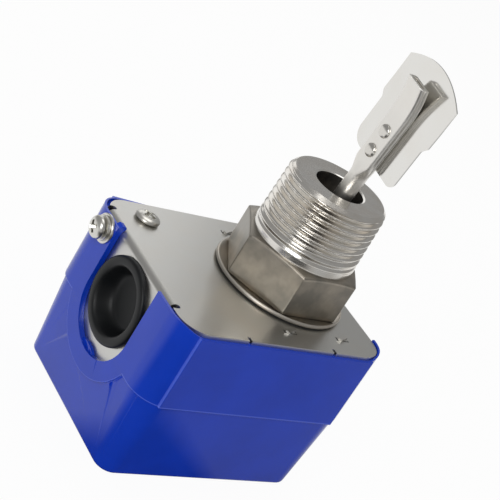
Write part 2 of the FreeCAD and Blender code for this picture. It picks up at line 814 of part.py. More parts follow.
def build_rocker():
    height = pivot
    finger_low = plunger_top + of("running")
    finger_top = finger_low + 1.5
    reach = -of("reach")
    near = -(of("bracket_side") - of("sheet") - 5.15)
    far = of("spring_side")
    hub = rod("rocker_hub", of("hub"), 42.6, (0, -21.6, height), "y")
    boss = rod("rocker_boss", 3.7, pivot_down - seat_down, along_arm(-pivot_down), turn=tilt)
    stub = rod("rocker_stub", of("arm_bore") - 0.1, 9.6, along_arm(-pivot_down), turn=tilt)
    press = box("rocker_switch_finger", (reach - 2.5, near - 3.5, finger_low), (0, near + 3.5, finger_top))
    lift = box("rocker_spring_finger", (reach - 4.5, far - 4.5, finger_low), (0, far + 4.5, finger_top))
    hole = rod("rocker_hole", of("pin") + of("running"), 60, (0, -30, height), "y")
    node("rocker", without("rocker_part", joined("rocker_blank", hub, boss, stub, press, lift), hole))
    outer = of("bracket_side") + of("sheet")
    node("pivot_pin", joined(
        "pivot_pin_part",
        rod("pivot_shank", of("pin"), outer * 2 + 2.2, (0, -outer, height), "y"),
        rod("pivot_head", 2.6, 1.0, (0, -outer, height), "-y"),
    ))
    node("pivot_clip", without(
        "pivot_clip_part",
        rod("pivot_clip_disc", 3.2, 0.8, (0, outer + 0.1, height), "y"),
        rod("pivot_clip_hole", of("pin") + 0.1, 3, (0, outer - 1, height), "y"),
        box("pivot_clip_mouth", (-0.9, outer - 1, height - 4), (0.9, outer + 3, height)),
    ))
    node("seal_collar", without(
        "collar_part",
        rod("collar_disc", 4.4, 2.0, along_arm(5.0), turn=tilt),
        rod("collar_hole", of("arm") + 0.05, 6, along_arm(3.0), turn=tilt),
    ))
    seal = Solid("seal")
    profile = seal.sketch("XZ_Plane")
    waves = [(6.9 if index % 2 else 5.3, shelf_top + 1.2 + 0.85 * index) for index in range(11)]
    inside = [(radius - 0.35, z + (0.12 if index % 2 else -0.12)) for index, (radius, z) in enumerate(waves)]
    polygon(profile, [
        (6.2, shelf_top),
        (7.5, shelf_top),
        (7.5, shelf_top + 0.4),
        (6.6, shelf_top + 0.6),
        *waves,
        (6.3, shelf_top + 10.2),
        (6.3, shelf_top + 10.7),
        (3.8, shelf_top + 10.7),
        (3.8, shelf_top + 10.3),
        *reversed(inside),
        (6.2, shelf_top + 0.5),
    ])
    seal.spun(profile)
    node("bellows_seal", seal.body)


def build_bracket():
    inner = of("bracket_side")
    outer = inner + of("sheet")
    floor = of("bracket_web")
    reach = -of("reach")
    web = box("bracket_floor", (-20, -outer, floor), (12, outer, floor + of("sheet")))
    near = box("bracket_near", (-16, -outer, floor), (16, -inner, rim))
    far = box("bracket_far", (-20, inner, floor), (16, outer, rim))
    bottom = switch_top - of("switch_high")
    arm = box("bracket_switch_arm", (-36, -outer, bottom - 1), (-15, -inner, switch_top + 1))
    tabs = []
    for along, side in ((of("tab_left"), -1), (of("tab_right"), -1), (of("tab_far"), 1), (of("tab_right"), 1)):
        across = side * (inner + of("sheet") / 2)
        width = of("tab") / 2
        name = f"tab_{len(tabs)}"
        stem = box(name, (along - width, across - of("sheet") / 2, rim - 1),
                   (along + width, across + of("sheet") / 2, of("plate_top") + 0.1))
        twist = Solid(name + "_twist")
        shape = twist.sketch("XY_Plane")
        deep = of("sheet") / 2
        polygon(shape, [(-width, -deep), (width, -deep), (width, deep), (-width, deep)])
        twist.pad(shape, 0.8)
        turned = place(twist.body, (along, across, of("plate_top")),
                       FreeCAD.Rotation(FreeCAD.Vector(0, 0, 1), VALUES["tab_twist"]))
        tabs.append(joined(name + "_whole", stem, turned))
    blank = joined("bracket_blank", web, near, far, arm, *tabs)
    hole = of("pin") + of("running")
    pin_hole = rod("bracket_pin_hole", hole, 80, (0, -40, pivot), "y")
    window = rod("bracket_window", 7, 6, (-2, -8, floor - 2))
    screw_hole = rod("bracket_screw_hole", of("screw_m4") + of("running"), 6, (*range_spot, floor - 2))
    switch_holes = [
        rod(f"bracket_switch_hole_{index}", of("screw_m3") + 0.1, 6, (x, -outer - 2, z), "y")
        for index, (x, z) in enumerate(switch_spots())
    ]
    node("mechanism_bracket", without("bracket_part", blank, pin_hole, window, screw_hole, *switch_holes))


def switch_spots():
    low = switch_top - of("switch_high")
    end = -of("reach") + 8.0
    return ((end - 2.8, low + 2.9), (end - 25.0, low + 13.2))


def build_switch():
    back = -of("bracket_side")
    front = back + of("switch_thick")
    end = -of("reach") + 8.0
    start = end - of("switch_long")
    low = switch_top - of("switch_high")
    middle_y = (back + front) / 2
    blank = box("switch_blank", (start, back, low), (end, front, switch_top))
    holes = [
        rod(f"switch_hole_{index}", of("screw_m3") + 0.1, 16, (x, back - 1, z), "y")
        for index, (x, z) in enumerate(switch_spots())
    ]
    well = rod("switch_well", of("plunger") + of("running"), 5, (-of("reach"), middle_y, switch_top - 4))
    slots = []
    feet = []
    heads = []
    for index in range(3):
        centre = start + 4.0 + 9.9 * index
        slots.append(box(f"terminal_slot_{index}", (centre - 2.4, middle_y - 0.5, low - 1),
                         (centre + 2.4, middle_y + 0.5, low + 1.1)))
        stem = box(f"terminal_stem_{index}", (centre - 2.3, middle_y - 0.4, low - 6),
                   (centre + 2.3, middle_y + 0.4, low + 1.1))
        foot = box(f"terminal_foot_{index}", (centre - 2.3, middle_y - 0.4, low - 6),
                   (centre + 2.3, middle_y + 6.4, low - 5))
        hole = rod(f"terminal_hole_{index}", of("screw_m3") + 0.1, 4, (centre, middle_y + 3.4, low - 8))
        feet.append(without(f"terminal_{index}", joined(f"terminal_blank_{index}", stem, foot), hole))
        spot = (centre, middle_y + 3.4, low - 6)
        heads.append(joined(
            f"terminal_screw_{index}",
            screw_head(f"terminal_screw_head_{index}", 2.6, 1.8, spot, "-z"),
            rod(f"terminal_screw_shank_{index}", of("screw_m3"), 3.6, spot),
        ))
    node("microswitch_body", without("switch_part", blank, well, *holes, *slots))
    node("switch_terminals", group("terminals", *feet))
    node("terminal_screws", group("terminal_screw_set", *heads))
    button = Solid("button")
    section = button.sketch("XZ_Plane")
    tall = 4.4
    steps = [index / 3 for index in range(3, -1, -1)]
    edge = of("plunger")
    drop = edge * edge / (of("plunger_dome") * 2)
    polygon(section, [(0, 0), (edge, 0), *[(edge * ratio, tall - drop * (ratio * ratio)) for ratio in steps]])
    button.spun(section)
    node("microswitch_plunger", place(button.body, (-of("reach"), middle_y, plunger_top - tall)))
    screws = []
    for index, (x, z) in enumerate(switch_spots()):
        screws.append(joined(
            f"switch_screw_{index}",
            screw_head(f"switch_screw_head_{index}", 2.75, 1.9, (x, front, z), "y"),
            rod(f"switch_screw_shank_{index}", of("screw_m3"), of("switch_thick") + 1.1, (x, front, z), "-y"),
        ))
    node("switch_screws", group("switch_screw_set", *screws))


def build_range():
    spot = range_spot
    floor = of("bracket_web")
    node("range_screw", joined(
        "range_screw_part",
        screw_head("range_screw_head", of("screw_m4") * 2, 2.6, (*spot, floor), "-z"),
        rod("range_screw_shank", of("screw_m4"), 23, (*spot, floor)),
    ))
    level = floor + of("sheet") + 0.1
    node("range_screw_clip", without(
        "range_clip",
        rod("range_clip_disc", 3.6, 0.8, (*spot, level)),
        rod("range_clip_hole", of("screw_m4") + 0.1, 3, (*spot, level - 1)),
        box("range_clip_mouth", (spot[0] - 1.2, spot[1], level - 1), (spot[0] + 1.2, spot[1] + 5, level + 3)),
    ))
    top = seat_top
    thick = of("seat_thick")
    node("spring_seat_nut", without(
        "seat_nut",
        box("seat_blank", (spot[0] - 5, spot[1] - 5, top - thick),
            (spot[0] + 5, of("bracket_side") - 0.2, top)),
        rod("seat_hole", of("screw_m4") + of("running"), 6, (*spot, top - thick - 1)),
    ))
    finger = plunger_top + of("running")
    wire = of("spring_wire")
    free = (finger - top).value - 2 * wire.value
    radius = VALUES["spring_mid"]
    turns = 7.0
    steps = int(turns * 12)
    points = []
    for index in range(steps + 1):
        ratio = index / steps
        angle = 2 * math.pi * turns * ratio
        rise = free * min(max((ratio * turns - 0.9) / (turns - 1.8), 0.0), 1.0)
        points.append(FreeCAD.Vector(radius * math.cos(angle), radius * math.sin(angle), rise + wire.value))
    curve = Part.BSplineCurve()
    curve.interpolate(points)
    path = Part.Wire([curve.toShape()])
    tangent = curve.tangent(curve.FirstParameter)[0]
    ring = Part.Wire([Part.Circle(points[0], tangent, wire.value).toShape()])
    coil = path.makePipeShell([ring], True, True)
    spring = doc.addObject("Part::Feature", "spring_coil")
    spring.Shape = coil
    node("range_spring", place(spring, (*spot, top)))


build_cover()
build_chassis()
build_plug()
build_screws()
build_fitting()
build_paddle()
build_rocker()
build_bracket()
build_switch()
build_range()
doc.recompute()

for item in doc.Objects:
    if "Invalid" in item.State or "Error" in item.State:
        raise RuntimeError(f"{item.Label} is in state {item.State}")
os.makedirs("parts", exist_ok=True)
for name, thing in NODES.items():
    shape = thing.Shape
    if shape.isNull() or not shape.isValid() or not shape.Solids:
        raise RuntimeError(f"{name} has no valid solid")
    shape.exportStep(f"parts/{name}.step")
    bounds = shape.BoundBox
    print(f"{name:22s} solids {len(shape.Solids)} volume {shape.Volume:9.1f} "
          f"x {bounds.XMin:7.2f} {bounds.XMax:7.2f} y {bounds.YMin:7.2f} {bounds.YMax:7.2f} "
          f"z {bounds.ZMin:7.2f} {bounds.ZMax:7.2f}")
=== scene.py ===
"""Looks of a pipe-mounted flow switch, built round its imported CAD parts.

Lengths are in millimetres in the row frame: origin on the fitting's axis in the closed flat face of the
cover, +Z up the fitting, -X towards the cable entry. Only the studio's lights and camera are in metres.
"""

import logging
import math
from dataclasses import dataclass, field
from enum import Enum
from typing import Any, Callable, Iterable, Sequence

import bmesh
import bpy
import numpy as np
from mathutils import Matrix, Vector


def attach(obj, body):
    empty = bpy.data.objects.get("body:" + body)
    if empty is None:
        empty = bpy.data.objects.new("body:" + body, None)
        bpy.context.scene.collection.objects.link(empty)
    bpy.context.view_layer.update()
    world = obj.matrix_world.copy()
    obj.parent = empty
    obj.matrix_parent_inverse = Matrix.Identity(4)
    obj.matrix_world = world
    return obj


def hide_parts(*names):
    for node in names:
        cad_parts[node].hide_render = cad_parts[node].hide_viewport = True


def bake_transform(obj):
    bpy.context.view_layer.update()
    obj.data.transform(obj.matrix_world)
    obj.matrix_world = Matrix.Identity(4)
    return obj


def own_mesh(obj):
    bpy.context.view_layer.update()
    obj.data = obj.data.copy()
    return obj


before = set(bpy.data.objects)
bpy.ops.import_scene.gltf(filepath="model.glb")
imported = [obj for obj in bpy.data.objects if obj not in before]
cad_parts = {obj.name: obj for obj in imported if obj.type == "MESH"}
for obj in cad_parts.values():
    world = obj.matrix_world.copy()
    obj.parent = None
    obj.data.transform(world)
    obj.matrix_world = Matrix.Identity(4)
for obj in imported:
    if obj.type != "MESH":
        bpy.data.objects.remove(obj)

LOG = logging.getLogger("scene")
MM = 0.001
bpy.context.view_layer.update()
WHITE = (1.0, 1.0, 1.0, 1.0)
QUARTER = math.pi / 2
CREASE = 38.0

Item = bpy.types.Object
Pair = tuple[float, float]
Triple = tuple[float, float, float]


@dataclass(frozen=True)
class Datum:
    """Places that several pieces share."""

    case_end: float = -52.84
    belt: float = 28.0
    notch_z: float = 35.6
    collar: float = 20.2
    panel_in: float = 6.44
    wall_face: float = -50.8
    entry_z: float = 39.4
    plate_top: float = 54.4
    cover_screw: Pair = (19.0, 51.0)
    ground_screw: Pair = (-38.36, 22.45)


AT = Datum()


# Shader graph

def operator(operation: str, swapped: bool = False) -> Callable[["Value", Any], "Value"]:
    """An arithmetic method that adds one maths node.

    Args:
        operation: name of the operation.
        swapped: put the other operand first.

    Returns:
        The method.
    """
    def method(self: "Value", other: Any) -> "Value":
        """Add the node and give back its output."""
        pair = (other, self) if swapped else (self, other)
        return self.graph.make("ShaderNodeMath", dict(enumerate(pair)), operation=operation)

    return method


class Value:
    """One output socket with arithmetic, so that shader sums read like sums."""

    def __init__(self, graph: "Graph", socket: bpy.types.NodeSocket) -> None:
        """Keep the graph and the socket."""
        self.graph = graph
        self.socket = socket

    __add__ = operator("ADD")
    __radd__ = operator("ADD", True)
    __sub__ = operator("SUBTRACT")
    __rsub__ = operator("SUBTRACT", True)
    __mul__ = operator("MULTIPLY")
    __rmul__ = operator("MULTIPLY", True)
    __truediv__ = operator("DIVIDE")
    __rtruediv__ = operator("DIVIDE", True)
    __pow__ = operator("POWER")

    def ramp(self, low: float, high: float) -> "Value":
        """Spread the value so that low becomes 0 and high becomes 1, held between them.

        Args:
            low: value that gives 0.
            high: value that gives 1.

        Returns:
            The spread value.
        """
        return self.graph.make("ShaderNodeMapRange", {0: self, 1: low, 2: high}, clamp=True)


class Graph:
    """A node tree of one material or world, with a single way to make nodes."""

    def __init__(self, tree: bpy.types.NodeTree) -> None:
        """Keep the tree and empty it."""
        self.tree = tree
        tree.nodes.clear()

    def make(self, kind: str, inputs: dict[Any, Any] | None = None, output: Any = 0,
             **settings: Any) -> Value:
        """Add a node, set it up, feed its inputs and hand back one output.

        Args:
            kind: node type name.
            inputs: socket name or number to a constant or a Value.
            output: socket name or number of the output handed back.
            **settings: node attributes.

        Returns:
            The chosen output as a Value.
        """
        node = self.tree.nodes.new(kind)
        for name, setting in settings.items():
            setattr(node, name, setting)
        for name, content in (inputs or {}).items():
            if isinstance(content, Value):
                self.tree.links.new(content.socket, node.inputs[name])
            else:
                node.inputs[name].default_value = content
        return Value(self, node.outputs[output] if node.outputs else node.inputs[0])

    def coordinates(self, scale: Triple = (1.0, 1.0, 1.0)) -> Value:
        """Object coordinates in millimetres, stretched by a scale for each axis.

        Args:
            scale: factor along X, Y and Z.

        Returns:
            The stretched coordinates.
        """
        place = self.make("ShaderNodeTexCoord", output="Object")
        factor = tuple(part / MM for part in scale)
        return self.make("ShaderNodeVectorMath", {0: place, 1: factor}, operation="MULTIPLY")

    def noise(self, size: float, detail: float = 3.0, scale: Triple = (1.0, 1.0, 1.0)) -> Value:
        """Smooth noise over the surface.

        Args:
            size: noise scale in turns per millimetre.
            detail: number of finer layers.
            scale: stretch of the coordinates for each axis.

        Returns:
            A value near 0.5.
        """
        inputs = {"Vector": self.coordinates(scale), "Scale": size, "Detail": detail, "Roughness": 0.55}
        return self.make("ShaderNodeTexNoise", inputs)

    def blend(self, share: Any, low: Any, high: Triple) -> Value:
        """Mix two colours.

        Args:
            share: 0 for the first colour and 1 for the second.
            low: first colour, as three numbers or a Value.
            high: second colour.

        Returns:
            The mixed colour.
        """
        first = low if isinstance(low, Value) else (*low, 1.0)
        return self.make("ShaderNodeMix", {0: share, 6: first, 7: (*high, 1.0)}, output=2, data_type="RGBA")

    def bump(self, height: Value, strength: float, depth: float) -> Value:
        """Turn a height into a normal.

        Args:
            height: height from 0 to 1.
            strength: share of the effect.
            depth: height in millimetres that 1 stands for.

        Returns:
            The normal.
        """
        return self.make("ShaderNodeBump", {"Height": height, "Strength": strength, "Distance": depth * MM})


class Grain(Enum):
    """Which way the marks of a metal surface run, as a stretch of the coordinates."""

    ALONG_Z = (1.0, 1.0, 0.03)
    TURNED = (0.06, 0.06, 1.6)
    EVEN = (1.0, 1.0, 1.0)


@dataclass(frozen=True)
class Finish:
    """A surface finish; each kind adds what varies over the surface."""

    name: str
    color: Triple
    roughness: float = 0.5
    metallic: float = 0.0

    def feed(self, graph: Graph) -> dict[str, Any]:
        """Sockets of the surface shader that this finish drives.

        Args:
            graph: graph of the material.

        Returns:
            Socket name to content.
        """
        return {"Base Color": (*self.color, 1.0), "Roughness": self.roughness}

    def material(self) -> bpy.types.Material:
        """The material of this finish, made once.

        Returns:
            The material.
        """
        known = bpy.data.materials.get(self.name)
        if known:
            return known
        made = bpy.data.materials.new(self.name)
        made.use_nodes = True
        graph = Graph(made.node_tree)
        shader = graph.make("ShaderNodeBsdfPrincipled", {"Metallic": self.metallic, **self.feed(graph)})
        graph.make("ShaderNodeOutputMaterial", {"Surface": shader})
        made.diffuse_color = (*self.color, 1.0)
        made.roughness = self.roughness
        made.metallic = self.metallic
        return made


@dataclass(frozen=True)
class Moulded(Finish):
    """Moulded plastic or rubber, slightly wavy and with a slowly varying colour."""

    wave: float = 0.02
    gloss: float = 0.5
    shade: float = 0.86
    mottle: float = 0.08

    def feed(self, graph: Graph) -> dict[str, Any]:
        """Colour, roughness and normal of moulded plastic.

        Args:
            graph: graph of the material.

        Returns:
            Socket name to content.
        """
        slow = graph.noise(0.06)
        fine = graph.noise(2.2)
        darker = tuple(part * self.shade for part in self.color)
        return {
            "Base Color": graph.blend(slow.ramp(0.3, 0.7), darker, self.color),
            "Roughness": self.roughness + (fine - 0.5) * self.mottle,
            "Specular IOR Level": self.gloss,
            "Normal": graph.bump(slow * 0.9, 0.6, self.wave),
        }


@dataclass(frozen=True)
class PaintedHighlightCase(Moulded):
    """Case plastic with painted highlights: pale lines in the colour where moulded edges catch the light."""

    # Colour of the painted highlight lines; strength is how much of it is mixed in, line is their width.
    pale: Triple = (0.10, 0.17, 0.78)
    strength: float = 0.7
    line: float = 0.22
    collar_depth: Pair = (1.6, 2.0)
    belt_rise: float = 0.6
    side: float = 31.0

    def feed(self, graph: Graph) -> dict[str, Any]:
        """Moulded plastic with painted highlight lines on the belt, the collar's arc and the panels' ends.

        Args:
            graph: graph of the material.

        Returns:
            Socket name to content.
        """
        sockets = super().feed(graph)
        place = graph.coordinates()
        x, y, z = (graph.make("ShaderNodeSeparateXYZ", {0: place}, output=axis) for axis in range(3))
        rise = z - AT.notch_z
        radius = (y * y + rise * rise) ** 0.5
        below = 1 - z.ramp(AT.belt, AT.belt + 0.2)
        end = 1 - x.ramp(*(AT.case_end + depth for depth in self.collar_depth))
        outside = 1 - end * (1 - radius.ramp(AT.collar - 0.2, AT.collar))
        # Painted highlights: masks for the collar's arc, the belt and the panels' ends, mixed in as pale
        # colour.
        arc = self.edge(radius - AT.collar) * end * below
        belt = self.edge(z - AT.belt - self.belt_rise) * outside
        on_side = (y * y).ramp(self.side ** 2, self.side ** 2 + 1)
        panel = self.edge(x - AT.case_end - AT.panel_in) * on_side * (1 - below)
        share = (arc + belt + panel) * self.strength
        return {**sockets, "Base Color": graph.blend(share, sockets["Base Color"], self.pale)}

    def edge(self, distance: Value) -> Value:
        """Share of a painted highlight line: 1 on its edge, falling to 0 at a distance of one line width.

        Args:
            distance: signed distance in millimetres.

        Returns:
            The share.
        """
        return 1 - (distance * distance).ramp(0.0, self.line ** 2)


@dataclass(frozen=True)
class Metal(Finish):
    """Rolled, turned or polished metal with grain and a warm tint in patches."""

    metallic: float = 1.0
    tint: Triple = (0.6, 0.52, 0.42)
    tinting: float = 0.25
    grain: Grain = Grain.EVEN
    marks: float = 0.004
    streak: float = 0.08

    def feed(self, graph: Graph) -> dict[str, Any]:
        """Colour, roughness and normal of worked metal.

        Args:
            graph: graph of the material.

        Returns:
            Socket name to content.
        """
        patches = graph.noise(0.11).ramp(0.42, 0.68)
        lines = graph.noise(3.0, 4.0, self.grain.value)
        smears = graph.noise(0.5, 3.0, self.grain.value)
        return {
            "Base Color": graph.blend(patches * self.tinting, self.color, self.tint),
            "Roughness": self.roughness + (smears - 0.5) * self.streak + (lines - 0.5) * self.streak,
            "Normal": graph.bump(lines, 0.5, self.marks),
        }


# The cover's blue carries painted highlight lines along its moulded edges.
BLUE = PaintedHighlightCase("cover_blue", (0.004, 0.048, 0.56), 0.15, gloss=0.42)
BLACK = Moulded("plug_rubber", (0.004, 0.005, 0.006), 0.44, wave=0.01, gloss=0.3)
GASKET = Moulded("gasket_rubber", (0.010, 0.010, 0.010), 0.7)
SWITCH = Moulded("switch_thermoset", (0.03, 0.03, 0.03), 0.5)
BUTTON = Moulded("switch_button_red", (0.5, 0.03, 0.02), 0.4)
PLATE = Metal("plate_stainless", (0.58, 0.575, 0.55), 0.33, tinting=0.10, marks=0.002, streak=0.05)
TURNED = Metal("fitting_turned", (0.72, 0.70, 0.66), 0.19, tinting=0.35, grain=Grain.TURNED, marks=0.010,
               streak=0.10)
# Painted shade: the hexagon's flats are a darker copy of the turned metal, for the dark surroundings they
# reflect.
FLATS_PAINTED_SHADE = Metal("fitting_flats_painted_shade", (0.25, 0.232, 0.20), 0.34, tinting=0.45, grain=Grain.ALONG_Z, marks=0.006)
# Painted shade: the deep bore is near black where shade falls inside it.
BORE_PAINTED_SHADE = Metal("fitting_bore_painted_shade", (0.07, 0.066, 0.06), 0.5)
DISC = Metal("washer_turned", (0.50, 0.47, 0.42), 0.36, tinting=0.45, marks=0.002)
POLISHED = Metal("leaf_polished", (0.74, 0.73, 0.70), 0.12, tinting=0.08, grain=Grain.ALONG_Z, marks=0.001,
                 streak=0.03)
TUBE = Metal("arm_stainless", (0.66, 0.64, 0.60), 0.22, tinting=0.20, grain=Grain.ALONG_Z)
STRAP = Metal("arm_strap", (0.80, 0.78, 0.74), 0.38, tinting=0.10, marks=0.0005, streak=0.03)
ZINC = Metal("zinc_plated", (0.66, 0.65, 0.61), 0.30, tinting=0.2, marks=0.002)
SHEET = Metal("bracket_sheet", (0.58, 0.57, 0.54), 0.35, tinting=0.15)
BRASS = Metal("brass_part", (0.72, 0.52, 0.22), 0.28, tint=(0.5, 0.3, 0.12))
BRONZE = Metal("bronze_bellows", (0.60, 0.40, 0.20), 0.30, tint=(0.45, 0.25, 0.10))
SPRING = Metal("spring_wire", (0.48, 0.48, 0.48), 0.3)


# Surfaces

def eased(share: Any) -> Any:
    """Smooth step: three times the square of the share less twice its cube.

    Args:
        share: a number or an array from 0 to 1.

    Returns:
        The eased share.
    """
    return share * share * (3 - 2 * share)


def along_x(spot: Sequence[float], sign: int = 1) -> Matrix:
    """Matrix that carries the origin to a spot and the Z axis to the X axis.

    Args:
        spot: the spot.
        sign: 1 for +X and -1 for -X.

    Returns:
        The matrix.
    """
    return Matrix.Translation(spot) @ Matrix.Rotation(sign * QUARTER, 4, "Y")


def moved(points: np.ndarray, place: Matrix | None) -> np.ndarray:
    """Points after a 4 by 4 matrix.

    Args:
        points: array of points by 3.
        place: the matrix, or None to leave them.

    Returns:
        The moved points.
    """
    if place is None:
        return points
    table = np.array(place)
    return points @ table[:3, :3].T + table[:3, 3]


def bend(centre: Sequence[float], radius: float, start: float, stop: float, steps: int = 6) -> list[Pair]:
    """Points of an arc: centre plus radius times cosine and sine of the angle.

    Args:
        centre: the two coordinates of the centre.
        radius: radius of the arc.
        start: first angle in degrees.
        stop: last angle in degrees.
        steps: number of points.

    Returns:
        The points.
    """
    angles = np.radians(np.linspace(start, stop, steps))
    return [(centre[0] + radius * math.cos(a), centre[1] + radius * math.sin(a)) for a in angles]


def round_loop(low: Pair, high: Pair, corner: float, steps: int = 20) -> np.ndarray:
    """A rectangle with round corners, counter-clockwise.

    Args:
        low: low corner.
        high: high corner.
        corner: corner radius.
        steps: points in each corner.

    Returns:
        Array of points by 2.
    """
    corner = max(corner, 0.01)
    left, right = low[0] + corner, high[0] - corner
    near, far = low[1] + corner, high[1] - corner
    centres = ((right, near, -90), (right, far, 0), (left, far, 90), (left, near, 180))
    return np.array([spot for x, y, a in centres for spot in bend((x, y), corner, a, a + 90, steps)])


def lattice(points: np.ndarray, around: bool = True, caps: bool = True) -> tuple[np.ndarray, list[list[int]]]:
    """Faces over a grid of points: row i, column j joined to row i + 1 and column j + 1.

    Args:
        points: array of rows by columns by 3.
        around: the last column joins the first one.
        caps: close the first and the last row with one face each.

    Returns:
        Flat points and faces.
    """
    rows, columns = points.shape[:2]
    index = np.arange(rows * columns).reshape(rows, columns)
    following = np.roll(index, -1, axis=1) if around else index[:, 1:]
    present = index if around else index[:, :-1]
    quads = np.stack([present[:-1], following[:-1], following[1:], present[1:]], axis=-1)
    faces = quads.reshape(-1, 4).tolist()
    if caps:
        faces += [index[0][::-1].tolist(), index[-1].tolist()]
    return points.reshape(-1, 3), faces


def sharpen(mesh: bpy.types.Mesh, crease: float) -> None:
    """Shade a mesh smooth, with sharp edges only past an angle.

    Args:
        mesh: the mesh.
        crease: the angle in degrees.
    """
    mesh.polygons.foreach_set("use_smooth", np.ones(len(mesh.polygons), bool))
    mesh.set_sharp_from_angle(angle=math.radians(crease))


def solid(name: str, points: np.ndarray, faces: Iterable[Sequence[int]], crease: float = CREASE) -> Item:
    """A mesh object from points in millimetres, normals outward.

    Args:
        name: name of the object.
        points: array of points by 3.
        faces: lists of point numbers.
        crease: angle in degrees past which an edge stays sharp.

    Returns:
        The object, at the origin.
    """
    mesh = bpy.data.meshes.new(name)
    mesh.from_pydata((np.asarray(points, float) * MM).tolist(), [], list(faces))
    tidy = bmesh.new()
    tidy.from_mesh(mesh)
    bmesh.ops.remove_doubles(tidy, verts=tidy.verts, dist=1e-7)
    bmesh.ops.recalc_face_normals(tidy, faces=tidy.faces)
    tidy.to_mesh(mesh)
    tidy.free()
    sharpen(mesh, crease)
    made = bpy.data.objects.new(name, mesh)
    bpy.context.scene.collection.objects.link(made)
    return made


def loft(name: str, loops: Sequence[np.ndarray], heights: Sequence[float], place: Matrix | None = None,
         crease: float = CREASE) -> Item:
    """A closed body through loops of the same length at their heights.

    Args:
        name: name of the object.
        loops: arrays of points by 2.
        heights: height of each loop.
        place: matrix in millimetres that puts the body where it belongs.
        crease: angle in degrees past which an edge stays sharp.

    Returns:
        The object.
    """
    grid = np.stack([np.column_stack([loop, np.full(len(loop), z)]) for loop, z in zip(loops, heights)])
    points, faces = lattice(grid)
    return solid(name, moved(points, place), faces, crease)


def spun(name: str, profile: Sequence[Sequence[float]], steps: int = 96, place: Matrix | None = None,
         crease: float = CREASE) -> Item:
    """A body of revolution: each profile point (radius, height) goes round the Z axis.

    Args:
        name: name of the object.
        profile: radii and heights once round the section.
        steps: columns round the axis.
        place: matrix in millimetres that puts the axis where it belongs.
        crease: angle in degrees past which an edge stays sharp.

    Returns:
        The object.
    """
    section = np.asarray(profile, float)
    angle = np.linspace(0.0, 2 * math.pi, steps, endpoint=False)
    radius, height = section[:, :1], section[:, 1:]
    grid = np.stack([radius * np.cos(angle), radius * np.sin(angle), height + 0 * angle], axis=-1)
    if section[0, 0] > 1e-6:
        grid = np.concatenate([grid, grid[:1]])
    points, faces = lattice(grid, caps=False)
    return solid(name, moved(points, place), faces, crease)


def rod(name: str, radius: float, start: float, stop: float, steps: int, place: Matrix) -> Item:
    """A round bar along the Z axis of a matrix.

    Args:
        name: name of the object.
        radius: its radius.
        start: first height.
        stop: last height.
        steps: columns round the axis.
        place: matrix in millimetres that puts the axis where it belongs.

    Returns:
        The object.
    """
    return spun(name, [(0, start), (radius, start), (radius, stop), (0, stop)], steps, place)


def prism(name: str, outline: Sequence[Pair], start: float, stop: float, axis: str) -> Item:
    """A straight prism: an outline carried along one axis.

    Args:
        name: name of the object.
        outline: points across the axis, in the order Y Z, X Z or X Y.
        start: first place along the axis.
        stop: last place along the axis.
        axis: x, y or z.

    Returns:
        The object.
    """
    flat = np.asarray(outline, float)
    order = {"x": [2, 0, 1], "y": [0, 2, 1], "z": [0, 1, 2]}[axis]
    ends = [np.column_stack([flat, np.full(len(flat), level)])[:, order] for level in (start, stop)]
    return solid(name, *lattice(np.stack(ends)))


def block(name: str, low: Pair, high: Pair, start: float, stop: float) -> Item:
    """A box with upright walls.

    Args:
        name: name of the object.
        low: low corner in X and Y.
        high: high corner in X and Y.
        start: lowest height.
        stop: greatest height.

    Returns:
        The object.
    """
    return prism(name, [low, (high[0], low[1]), high, (low[0], high[1])], start, stop, "z")


def carve(target: Item, tools: Iterable[Item], operation: str = "DIFFERENCE", crease: float = CREASE) -> Item:
    """Boolean a row of tools into an object and delete the tools.

    Args:
        target: the object that is changed.
        tools: the other objects.
        operation: DIFFERENCE, UNION or INTERSECT.
        crease: angle in degrees past which an edge stays sharp.

    Returns:
        The changed object.
    """
    for tool in tools:
        step = target.modifiers.new("cut", "BOOLEAN")
        step.operation = operation
        step.solver = "EXACT"
        step.object = tool
        bpy.context.view_layer.update()
        graph = bpy.context.evaluated_depsgraph_get()
        result = bpy.data.meshes.new_from_object(target.evaluated_get(graph))
        target.modifiers.clear()
        target.data = result
        bpy.data.objects.remove(tool)
    sharpen(target.data, crease)
    return target


def soften(target: Item, width: float, segments: int, angle: float) -> Item:
    """Round every edge past an angle and weight the normals by area.

    Args:
        target: the object that is changed.
        width: width of the rounding in millimetres.
        segments: faces across the rounding.
        angle: angle in degrees past which an edge is rounded.

    Returns:
        The same object.
    """
    round_off = target.modifiers.new("round", "BEVEL")
    round_off.width = width * MM
    round_off.segments = segments
    round_off.limit_method = "ANGLE"
    round_off.angle_limit = math.radians(angle)
    round_off.use_clamp_overlap = True
    weigh = target.modifiers.new("weigh", "WEIGHTED_NORMAL")
    weigh.keep_sharp = False
    return target


def show(piece: Item, finish: Finish, node: str, body: str) -> Item:
    """Dress a piece, let it stand for its CAD node and ride on its body.

    Args:
        piece: the piece.
        finish: its finish.
        node: CAD node it stands for.
        body: CAD body it rides on.

    Returns:
        The same piece.
    """
    piece.data.materials.clear()
    piece.data.materials.append(finish.material())
    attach(piece, body)
    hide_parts(node)
    return piece


# Sub-assemblies. Cutting tools run a few millimetres past the faces that they cut.

